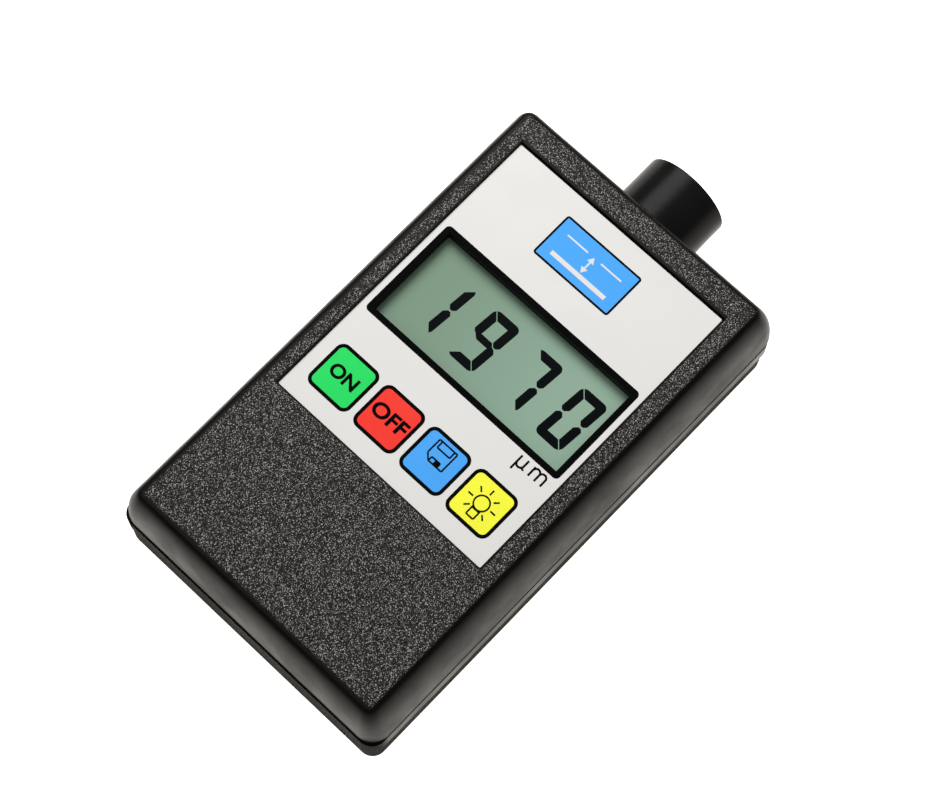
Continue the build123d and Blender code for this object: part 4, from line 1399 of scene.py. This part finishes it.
@dataclass
class Display:
    """Glass cell with its slanted seven-segment digits."""

    digits: str = "1970"
    glass_top: float = 22.4
    segment_rise: float = 0.012
    digit_height: float = 12.35
    digit_width: float = 6.2
    bar: float = 1.75
    gap: float = 0.11
    corner: float = 1.25
    slant: float = math.radians(4.8)
    pitch: float = 10.83
    bar_step: float = 0.0002
    last_right_top: Point = (21.15, 14.42)
    shown: dict[str, str] = field(default_factory=lambda: {"1": "bc", "9": "abcdfg", "7": "abc", "0": "abcdef"})

    def bend(self, x: float, y: float, start: float, end: float) -> list[Point]:
        """Points of a digit's rounded outer corner, round (x, y) between two angles in degrees."""
        return arc((x, y), self.corner, start, end, steps=6)

    def segment(self, letter: str) -> list[Point]:
        """One segment's outline, upright, from the digit's lower left corner.

        The corners at the top right and bottom left are whole, the other two have a mitred gap. The small
        numbers beside middle, inner and width are vertices as they were measured on the photo.

        Args:
            letter: the segment's usual letter, a to g.

        Returns:
            Its corners.
        """
        width, height, bar, gap, corner = self.digit_width, self.digit_height, self.bar, self.gap, self.corner
        middle = height / 2
        inner = width - bar
        cut = math.degrees(gap / math.sqrt(2) / corner)
        top = [
            *self.bend(corner, height - corner, 135 - cut, 90), *self.bend(width - corner, height - corner, 90, 44),
            (inner, height - bar), (bar + gap, height - bar),
        ]
        upper = [
            (inner, height - bar), *self.bend(width - corner, height - corner, 46, 0), (width, middle + 0.75),
            (width - 0.55, middle + 0.20), (inner + 0.65, middle + 0.20), (inner, middle + 0.90),
        ]
        lower = [
            (inner, middle - 0.90), (inner + 0.65, middle - 0.20), (width - 0.55, middle - 0.20),
            (width, middle - 0.75), *self.bend(width - corner, corner, 0, cut - 45), (inner, bar + gap),
        ]
        centre = [
            (0, middle + 0.78), (bar - 0.1, middle + 0.95), (bar, middle + 0.70), (inner - 0.05, middle + 0.70),
            (inner + 0.55, middle + 0.05), (width - 0.75, middle - 0.05), (width - 0.50, middle - 0.25),
            (inner + 0.1, middle - 0.95), (inner, middle - 0.70), (bar + 0.08, middle - 0.71),
        ]
        shapes = {"a": top, "b": upper, "c": lower, "g": centre}
        for turned, drawn in (("d", "a"), ("e", "b"), ("f", "c")):
            shapes[turned] = [(width - x, height - y) for x, y in shapes[drawn]]
        return shapes[letter]

    def leaned(self, outline: Sequence[Point], number: int) -> list[Point]:
        """Places an upright outline in one digit's position, leaning to the right."""
        right = self.last_right_top[0] - self.pitch * (len(self.digits) - 1 - number)
        low = self.last_right_top[1] - self.digit_height
        left = right - self.digit_width - self.digit_height * math.tan(self.slant)
        return [(left + x + y * math.tan(self.slant), low + y) for x, y in outline]

    def build(self) -> None:
        """Makes the glass and the lit segments, whose tops lie a little apart in height."""
        dress(smooth_copy("display_glass", "display_cell"), Finishes.GLASS, Body.CASE.value, ["display_glass"])
        outlines = []
        for number, digit in enumerate(self.digits):
            outlines += [self.leaned(self.segment(letter), number) for letter in self.shown[digit]]
        top = self.glass_top + self.segment_rise
        bars = [flat_solid(f"segment_{number}", [outline], self.glass_top, top - self.bar_step * number)
                for number, outline in enumerate(outlines)]
        dress(joined("display_digits", bars), Finishes.SEGMENTS, Body.CASE.value)


@dataclass
class Probe:
    """Turned sleeve with a gripping groove, and the sensor rod inside it."""

    axis: Point = (0.9, 11.6)
    radius: float = 9.0
    inner_y: float = 40.0
    tip_y: float = 58.9
    bore: float = 6.5
    groove_low: float = 43.0
    groove_high: float = 45.2
    groove_radius: float = 7.75
    dish_radius: float = 6.0
    dish_depth: float = 0.6
    rim_round: float = 0.35
    face_thick: float = 2.0
    core_radius: float = 2.5
    core_fit: float = 0.05
    core_back: float = 43.0
    tip_rise: float = 0.7
    bevel: float = 0.12
    core_bevel: float = 0.2
    pole: float = 0.02
    segments: int = 96

    def sleeve_profile(self) -> list[Point]:
        """Closed profile of the sleeve, from the bore's mouth round the outside."""
        small = self.bevel
        profile = [
            (self.bore, self.inner_y), (self.radius - small, self.inner_y), (self.radius, self.inner_y + small),
            (self.radius, self.groove_low), (self.groove_radius, self.groove_low),
            (self.groove_radius, self.groove_high), (self.radius, self.groove_high),
        ]
        for step in range(7):
            angle = math.pi / 2 * step / 6
            out = self.radius - self.rim_round * (1 - math.cos(angle))
            profile.append((out, self.tip_y - self.rim_round * (1 - math.sin(angle))))
        hole = self.core_radius + self.core_fit
        floor = self.tip_y - self.dish_depth
        profile += [
            (self.dish_radius + small, self.tip_y), (self.dish_radius, self.tip_y - small), (self.dish_radius, floor),
            (hole + small, floor), (hole, floor - small), (hole, self.tip_y - self.face_thick),
            (self.bore, self.tip_y - self.face_thick),
        ]
        return profile

    def core_profile(self) -> list[Point]:
        """Profile of the rod, with a small chamfer behind and a domed tip."""
        sphere = (self.core_radius**2 + self.tip_rise**2) / (2 * self.tip_rise)
        reach = math.asin(self.core_radius / sphere)
        profile = [(self.pole, self.core_back), (self.core_radius - self.core_bevel, self.core_back),
                   (self.core_radius, self.core_back + self.core_bevel)]
        for step in range(9):
            angle = reach * (1 - step / 8)
            radius = max(self.pole, sphere * math.sin(angle))
            profile.append((radius, self.tip_y - sphere * (1 - math.cos(angle))))
        return profile

    def build(self) -> None:
        """Makes the sleeve and the rod."""
        sleeve = skinned("probe_tube", turned_rings(self.sleeve_profile(), self.axis, self.segments), looped=True)
        soften(sleeve)
        dress(sleeve, Finishes.PROBE, Body.CASE.value, ["probe_sleeve"])
        rod = skinned("sensor_rod", turned_rings(self.core_profile(), self.axis, segments=48), caps=True)
        soften(rod)
        dress(rod, Finishes.STEEL, Body.CASE.value, ["sensor_core"])


@dataclass
class ScrewSet:
    """Four pan-head screws, heads down, with a cross recess and a cut thread."""

    name: str
    node: str
    spacing: Point
    middle_y: float
    low_z: float
    head_radius: float
    head_height: float
    shank_radius: float
    shank_length: float
    pitch: float = 1.1
    thread: float = 0.24
    dome: float = 0.45
    recess_width: float = 0.62
    recess_depth: float = 1.0
    recess_reach: float = 1.15
    crown_share: float = 0.80
    point_share: float = 0.12
    point_radius: float = 0.2

    def build(self) -> None:
        """Makes the screws and stands them in for their CAD node."""
        recipe = Recipe(self.name, {
            "Spacing X": self.spacing[0], "Spacing Y": self.spacing[1], "Middle Y": self.middle_y,
            "Low Z": self.low_z, "Head Radius": self.head_radius, "Head Height": self.head_height,
            "Shank Radius": self.shank_radius, "Shank Length": self.shank_length, "Pitch": self.pitch,
            "Thread": self.thread, "Recess Width": self.recess_width, "Recess Depth": self.recess_depth,
        })
        read, graph = recipe.inputs, recipe.graph
        dome = graph.times(read["Head Height"], self.dome)
        rim = graph.minus(read["Head Height"], dome)
        inner = graph.times(read["Head Radius"], self.crown_share)
        core = graph.minus(read["Shank Radius"], read["Thread"])
        long = graph.times(read["Head Radius"], self.recess_reach)
        deep = graph.times(read["Recess Depth"], 2.0)
        cutters = [
            recipe.block(recipe.vector(long, read["Recess Width"], deep), recipe.vector()),
            recipe.block(recipe.vector(read["Recess Width"], long, deep), recipe.vector()),
        ]
        cap = recipe.carved(recipe.frustum(inner, read["Head Radius"], dome, 0.0), cutters)
        point = graph.times(read["Shank Length"], self.point_share)
        straight = graph.minus(read["Shank Length"], point)
        turns = graph.math("DIVIDE", straight, read["Pitch"])
        thread = recipe.helix(core, read["Thread"], turns, straight, steps=20, sides=4)
        screw = recipe.merged([
            cap,
            recipe.frustum(read["Head Radius"], read["Head Radius"], rim, dome),
            recipe.frustum(core, core, straight, read["Head Height"], sides=20),
            recipe.frustum(core, self.point_radius, point, graph.plus(read["Head Height"], straight), sides=20),
            recipe.moved(thread, recipe.vector(z=read["Head Height"])),
        ])
        middle = recipe.vector(0.0, read["Middle Y"], read["Low Z"])
        placed = recipe.at_grid(screw, 2, 2, read["Spacing X"], read["Spacing Y"], middle)
        dress(recipe.piece(placed, Finishes.SCREW), Finishes.SCREW, Body.CASE.value, [self.node])


@dataclass
class Coil:
    """Copper wire wound on its former, round the sensor rod."""

    axis: Point = (0.9, 11.6)
    outer_radius: float = 5.9
    low_y: float = 47.3
    high_y: float = 55.8
    hub_radius: float = 3.3
    wire: float = 0.13
    turn_pitch: float = 2.04
    cutter_past: float = 1.0

    def build(self) -> None:
        """Makes the inner layers as a sleeve and the top layer as wire."""
        length = self.high_y - self.low_y
        recipe = Recipe("wound_wire", {
            "Axis X": self.axis[0], "Axis Z": self.axis[1], "Low Y": self.low_y, "Length": length,
            "Outer Radius": self.outer_radius, "Hub Radius": self.hub_radius, "Wire Radius": self.wire,
        })
        read, graph = recipe.inputs, recipe.graph
        middle = graph.minus(read["Outer Radius"], read["Wire Radius"])
        clear = graph.minus(read["Length"], graph.times(read["Wire Radius"], 2.0))
        turns = graph.math("DIVIDE", clear, graph.times(read["Wire Radius"], self.turn_pitch))
        wire = recipe.helix(middle, read["Wire Radius"], turns, clear, steps=48, sides=8)
        layers = recipe.carved(
            recipe.frustum(middle, middle, read["Length"], 0.0, sides=48),
            [recipe.frustum(read["Hub Radius"], read["Hub Radius"], graph.plus(read["Length"], 2 * self.cutter_past),
                            -self.cutter_past, sides=48)],
        )
        coil = recipe.merged([layers, recipe.moved(wire, recipe.vector(z=read["Wire Radius"]))])
        place = recipe.vector(read["Axis X"], read["Low Y"], read["Axis Z"])
        turned = recipe.moved(coil, place, (-math.pi / 2, 0.0, 0.0))
        dress(recipe.piece(turned, Finishes.COPPER), Finishes.COPPER, Body.CASE.value, ["coil_winding"])


@dataclass
class PinRows:
    """Display pins in two rows, each in a cone of solder under the board."""

    columns: int = 20
    pitch: float = 2.54
    row_spacing: float = 27.94
    middle_y: float = 8.35
    low_z: float = 12.7
    high_z: float = 19.6
    board_z: float = 13.9
    width: float = 0.5
    depth: float = 0.25
    solder_radius: float = 0.72
    solder_height: float = 0.75
    solder_tip: float = 0.30
    tip_share: float = 0.8
    slim_width: float = 0.6
    slim_depth: float = 0.7

    def sizes(self) -> dict[str, float | int]:
        """Inputs that both recipes share."""
        return {
            "Columns": self.columns, "Row Length": self.pitch * (self.columns - 1), "Row Spacing": self.row_spacing,
            "Middle Y": self.middle_y, "Low Z": self.low_z, "High Z": self.high_z, "Board Z": self.board_z,
            "Width": self.width, "Depth": self.depth, "Solder Radius": self.solder_radius,
            "Solder Height": self.solder_height,
        }

    def spread(self, recipe: Recipe, shape: Socket) -> Socket:
        """One shape at every pin."""
        read = recipe.inputs
        middle = recipe.vector(0.0, read["Middle Y"], 0.0)
        return recipe.at_grid(shape, read["Columns"], 2, read["Row Length"], read["Row Spacing"], middle)

    def build(self) -> None:
        """Makes the pins and their solder."""
        recipe = Recipe("display_pin_rows", self.sizes())
        read, graph = recipe.inputs, recipe.graph
        tip = graph.times(read["Width"], self.tip_share)
        low = graph.plus(read["Low Z"], tip)
        long = graph.minus(read["High Z"], low)
        middle = graph.times(graph.plus(read["High Z"], low), 0.5)
        slim = graph.times(read["Width"], self.slim_width)
        half_tip = graph.math("MULTIPLY_ADD", tip, 0.5, read["Low Z"])
        pin = recipe.merged([
            recipe.block(recipe.vector(read["Width"], read["Depth"], long), recipe.vector(z=middle)),
            recipe.block(recipe.vector(slim, graph.times(read["Depth"], self.slim_depth), tip),
                         recipe.vector(z=half_tip)),
        ])
        pins = recipe.piece(self.spread(recipe, pin), Finishes.TIN)
        dress(pins, Finishes.TIN, Body.CASE.value, ["display_pins"])
        recipe = Recipe("pin_solder", self.sizes())
        read, graph = recipe.inputs, recipe.graph
        base = graph.minus(read["Board Z"], read["Solder Height"])
        waist = graph.times(read["Solder Radius"], 0.5)
        half = graph.times(read["Solder Height"], 0.5)
        joint = recipe.merged([
            recipe.frustum(self.solder_tip, waist, half, base, sides=14),
            recipe.frustum(waist, read["Solder Radius"], half, graph.plus(base, half), sides=14),
        ])
        solder = recipe.piece(self.spread(recipe, joint), Finishes.TIN)
        dress(solder, Finishes.TIN, Body.CASE.value)


@dataclass
class Controller:
    """Square chip with gull-wing leads on all four sides and a round mark by the first."""

    middle: Point = (-3.0, 8.0)
    half: float = 6.0
    low_z: float = 12.3
    board_z: float = 13.9
    leads: int = 11
    lead_pitch: float = 0.95
    lead_width: float = 0.4
    lead_reach: float = 1.3
    lead_thick: float = 0.2
    lead_foot: float = 0.62
    knee_height: float = 0.84
    shoulder_long: float = 0.56
    shoulder_rise: float = 0.74
    mark_radius: float = 0.6
    mark_in: float = 1.5
    stand_off: float = 0.12
    side_lean: float = 0.22

    def body_piece(self) -> None:
        """Moulded body: two tapered halves, and a thin ring that marks its first lead."""
        x, y = self.middle
        top, parting = self.board_z - self.stand_off, (self.low_z + self.board_z) / 2
        half_band, bevel = 0.06, 0.08
        levels = [(-self.side_lean, top), (0.0, parting + half_band), (0.0, parting - half_band),
                  (-self.side_lean, self.low_z + bevel), (-self.side_lean - bevel, self.low_z)]
        rings = [
            flat_ring(rounded_outline((x, y), (self.half + grow, self.half + grow), radius=0.25, steps=5), height)
            for grow, height in levels
        ]
        body = skinned("chip_case", rings, caps=True)
        soften(body)
        dress(body, Finishes.COMPONENT, Body.CASE.value)
        spot = (x - self.half + self.mark_in, y + self.half - self.mark_in)
        section = [(1.0, 0.02), (1.0, 0.0), (0.85, -0.015), (0.8, 0.01)]
        rings = [flat_ring(circle(spot, self.mark_radius * share, steps=24), self.low_z + rise)
                 for share, rise in section]
        ring = skinned("chip_mark", rings, looped=True)
        dress(ring, Finishes.COMPONENT, Body.CASE.value)

    def build(self) -> None:
        """Makes the body, then its leads."""
        self.body_piece()
        recipe = Recipe("chip_leads", {
            "Middle X": self.middle[0], "Middle Y": self.middle[1], "Half Width": self.half,
            "Board Z": self.board_z, "Leads": self.leads, "Row Length": self.lead_pitch * (self.leads - 1),
            "Lead Width": self.lead_width, "Lead Reach": self.lead_reach, "Lead Thickness": self.lead_thick,
        })
        read, graph = recipe.inputs, recipe.graph
        half_thick = graph.times(read["Lead Thickness"], 0.5)
        foot_long = graph.times(read["Lead Reach"], self.lead_foot)
        foot_x = graph.minus(graph.plus(read["Half Width"], read["Lead Reach"]),
                            graph.times(foot_long, 0.5))
        foot_z = graph.minus(read["Board Z"], half_thick)
        knee_x = graph.minus(foot_x, graph.times(foot_long, 0.5))
        knee_z = graph.minus(read["Board Z"], self.knee_height / 2)
        shoulder_x = graph.minus(knee_x, self.shoulder_long / 2)
        shoulder_z = graph.minus(read["Board Z"], self.shoulder_rise)
        lead = recipe.merged([
            recipe.block(recipe.vector(foot_long, read["Lead Width"], read["Lead Thickness"]),
                         recipe.vector(foot_x, 0.0, foot_z)),
            recipe.block(recipe.vector(read["Lead Thickness"], read["Lead Width"], self.knee_height),
                         recipe.vector(knee_x, 0.0, knee_z)),
            recipe.block(recipe.vector(self.shoulder_long, read["Lead Width"], read["Lead Thickness"]),
                         recipe.vector(shoulder_x, 0.0, shoulder_z)),
        ])
        row = recipe.at_grid(lead, 1, read["Leads"], 0.0, read["Row Length"], recipe.vector())
        sides = [recipe.moved(row, recipe.vector(), (0.0, 0.0, math.pi / 2 * turn)) for turn in range(4)]
        place = recipe.vector(read["Middle X"], read["Middle Y"])
        leads = recipe.piece(recipe.moved(recipe.merged(sides), place), Finishes.TIN)
        dress(leads, Finishes.TIN, Body.CASE.value)
        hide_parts("controller_chip")


@dataclass
class Battery:
    """Nine-volt block: jacket with rounded long edges, crimped over its end plates."""

    body: str = "battery"
    edge: float = 2.2
    end_edge: float = 0.35
    crimp: float = 0.55
    crimp_in: float = 0.45
    lip: float = 0.12
    bead: float = 0.06
    neck: float = 0.22
    shoulder: float = 0.7
    band_share: float = 0.30
    band_under: float = 0.04
    band_over: float = -0.03
    steps: int = 8

    def ring(self, low: Vector, high: Vector, place: float, inset: float) -> Ring:
        """Rounded cross-section of the jacket at one place along X."""
        middle = ((low.y + high.y) / 2, (low.z + high.z) / 2)
        half = ((high.y - low.y) / 2 - inset, (high.z - low.z) / 2 - inset)
        outline = rounded_outline(middle, half, self.edge - inset, self.steps)
        return [Vector((place, across, height)) for across, height in outline]

    def build(self) -> None:
        """Makes the jacket and a raised colour band round it."""
        low, high = box_mm(self.body)
        start, end = low.x, high.x
        bead, lip = self.bead, self.lip
        near = [
            (0.0, self.crimp_in + 0.5), (0.0, self.crimp_in), (lip, self.end_edge), (self.end_edge, bead),
            (self.crimp, bead), (self.crimp + 0.15, self.neck), (self.crimp + 0.5, self.neck),
            (self.crimp + self.shoulder, 0.0),
        ]
        levels = [(start + along, inset) for along, inset in near]
        levels += [(end - along, inset) for along, inset in reversed(near)]
        rings = [self.ring(low, high, place, inset) for place, inset in levels]
        jacket = skinned("battery_can", rings, caps=True)
        soften(jacket)
        dress(jacket, Finishes.JACKET, Body.CASE.value, ["battery"])
        band_end = end - self.crimp - self.shoulder
        band_start = band_end - (end - start) * self.band_share
        rings = [self.ring(low, high, place, inset) for place, inset in (
            (band_start, self.band_under), (band_start, self.band_over), (band_end, self.band_over),
            (band_end, self.band_under),
        )]
        band = skinned("battery_band", rings, looped=True)
        soften(band)
        dress(band, Finishes.COPPER_BAND, Body.CASE.value)


@dataclass
class Studio:
    """Floor, lights and the photograph's camera."""

    picture: Point = (934.0, 791.0)
    focal: float = 2785.0
    sensor: float = 36.0
    camera_place: tuple[float, float, float] = (109.091, -113.122, 501.066)
    camera_right: tuple[float, float, float] = (0.725057, 0.688681, -0.003377)
    camera_up: tuple[float, float, float] = (-0.654204, 0.690274, 0.309095)
    floor_half: float = 1500.0
    floor_drop: float = 0.05
    floor_colour: tuple[float, float, float] = (0.92, 0.90, 0.87)
    floor_roughness: float = 0.9
    floor_glow: float = 1.15
    glow_colour: tuple[float, float, float] = (1.0, 0.95, 0.88)
    sky_colour: tuple[float, float, float] = (1.0, 0.995, 0.985)
    sky_span: Point = (0.2, 0.9)
    sky_top: float = 0.40
    sky_side: float = 0.14
    box_place: tuple[float, float, float] = (-330.0, 340.0, 620.0)
    box_size: float = 480.0
    box_power: float = 5.6

    def camera(self) -> None:
        """Camera at the photograph's place."""
        lens = bpy.data.cameras.new("camera")
        lens.sensor_width = self.sensor
        lens.lens = self.focal / self.picture[0] * self.sensor
        lens.clip_start, lens.clip_end = 0.01, 20.0
        eye = linked("camera", lens)
        right, up = Vector(self.camera_right), Vector(self.camera_up)
        turn = Matrix((right, up, right.cross(up))).transposed().to_4x4()
        eye.matrix_world = Matrix.Translation(Vector(self.camera_place) * MM) @ turn
        bpy.context.scene.camera = eye

    def floor(self) -> None:
        """Pale floor that glows a little, as a light table does."""
        half = self.floor_half
        corners = [(-half, -half), (half, -half), (half, half), (-half, half)]
        ground = mesh_object("floor", lambda work: work.faces.new(
            [work.verts.new((x, y, -self.floor_drop)) for x, y in corners]))
        made = bpy.data.materials.new("floor_paper")
        made.use_nodes = True
        shader = made.node_tree.nodes["Principled BSDF"]
        Graph(made.node_tree).put(shader, {
            "Base Color": (*self.floor_colour, 1.0), "Roughness": self.floor_roughness, "Specular IOR Level": 0.0,
            "Emission Color": (*self.glow_colour, 1.0), "Emission Strength": self.floor_glow,
        })
        ground.data.materials.append(made)

    def sky(self) -> None:
        """Soft light that is strong overhead and weak along the horizon."""
        world = bpy.data.worlds.new("studio")
        bpy.context.scene.world = world
        world.use_nodes = True
        graph = Graph(world.node_tree)
        glow = world.node_tree.nodes["Background"]
        place = graph.add("ShaderNodeTexCoord").outputs["Generated"]
        upward = graph.add("ShaderNodeSeparateXYZ", {0: place}).outputs[2]
        strength = graph.fade(upward, *self.sky_span, self.sky_side, self.sky_top)
        graph.put(glow, {"Strength": strength, "Color": (*self.sky_colour, 1.0)})

    def lamp(self, name: str, place: tuple[float, float, float], size: float, power: float) -> None:
        """Square softbox aimed at the gauge.

        Args:
            name: the lamp's name.
            place: where it stands, in millimetres.
            size: its side.
            power: its power in watts.
        """
        light = bpy.data.lights.new(name, "AREA")
        light.size = size * MM
        light.energy = power
        lamp = linked(name, light)
        spot = Vector(place) * MM
        lamp.matrix_world = Matrix.Translation(spot) @ (-spot).to_track_quat("-Z", "Y").to_matrix().to_4x4()

    def build(self) -> None:
        """Makes the whole studio."""
        bpy.context.scene.view_settings.view_transform = "Standard"
        self.camera()
        self.floor()
        self.sky()
        self.lamp("main_box", self.box_place, self.box_size, self.box_power)


def dress_hidden_nodes() -> None:
    """Gives every CAD node that stays in view its finish, by the record's slots."""
    finishes = {value.slot: value for value in vars(Finishes).values() if isinstance(value, Finish)}
    for part in frame["record"]["subparts"]:
        node = part["node"]
        if not frame["nodes"][node].hide_render:
            dress_node(node, finishes[part["material_slot"]])


def main() -> None:
    """Builds the gauge's sub-assemblies in order, then the studio."""
    logging.basicConfig(level=logging.INFO, format="%(message)s")
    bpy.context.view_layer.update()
    FrontShell().build()
    RearShell().build()
    film = Faceplate()
    film.build()
    MembraneKeys(film).build()
    Display().build()
    Probe().build()
    Coil().build()
    ScrewSet("case_screw_set", "case_screws", spacing=(52.4, 64.5), middle_y=9.75, low_z=4.0, head_radius=2.8,
             head_height=2.0, shank_radius=1.45, shank_length=12.0).build()
    ScrewSet("board_screw_set", "board_screws", spacing=(50.0, 45.7), middle_y=6.95, low_z=12.5, head_radius=2.0,
             head_height=1.4, shank_radius=1.1, shank_length=6.6, pitch=0.9, thread=0.2, recess_width=0.5,
             recess_depth=0.6).build()
    PinRows().build()
    Controller().build()
    Battery().build()
    dress_hidden_nodes()
    Studio().build()


if __name__ == "__main__":
    main()
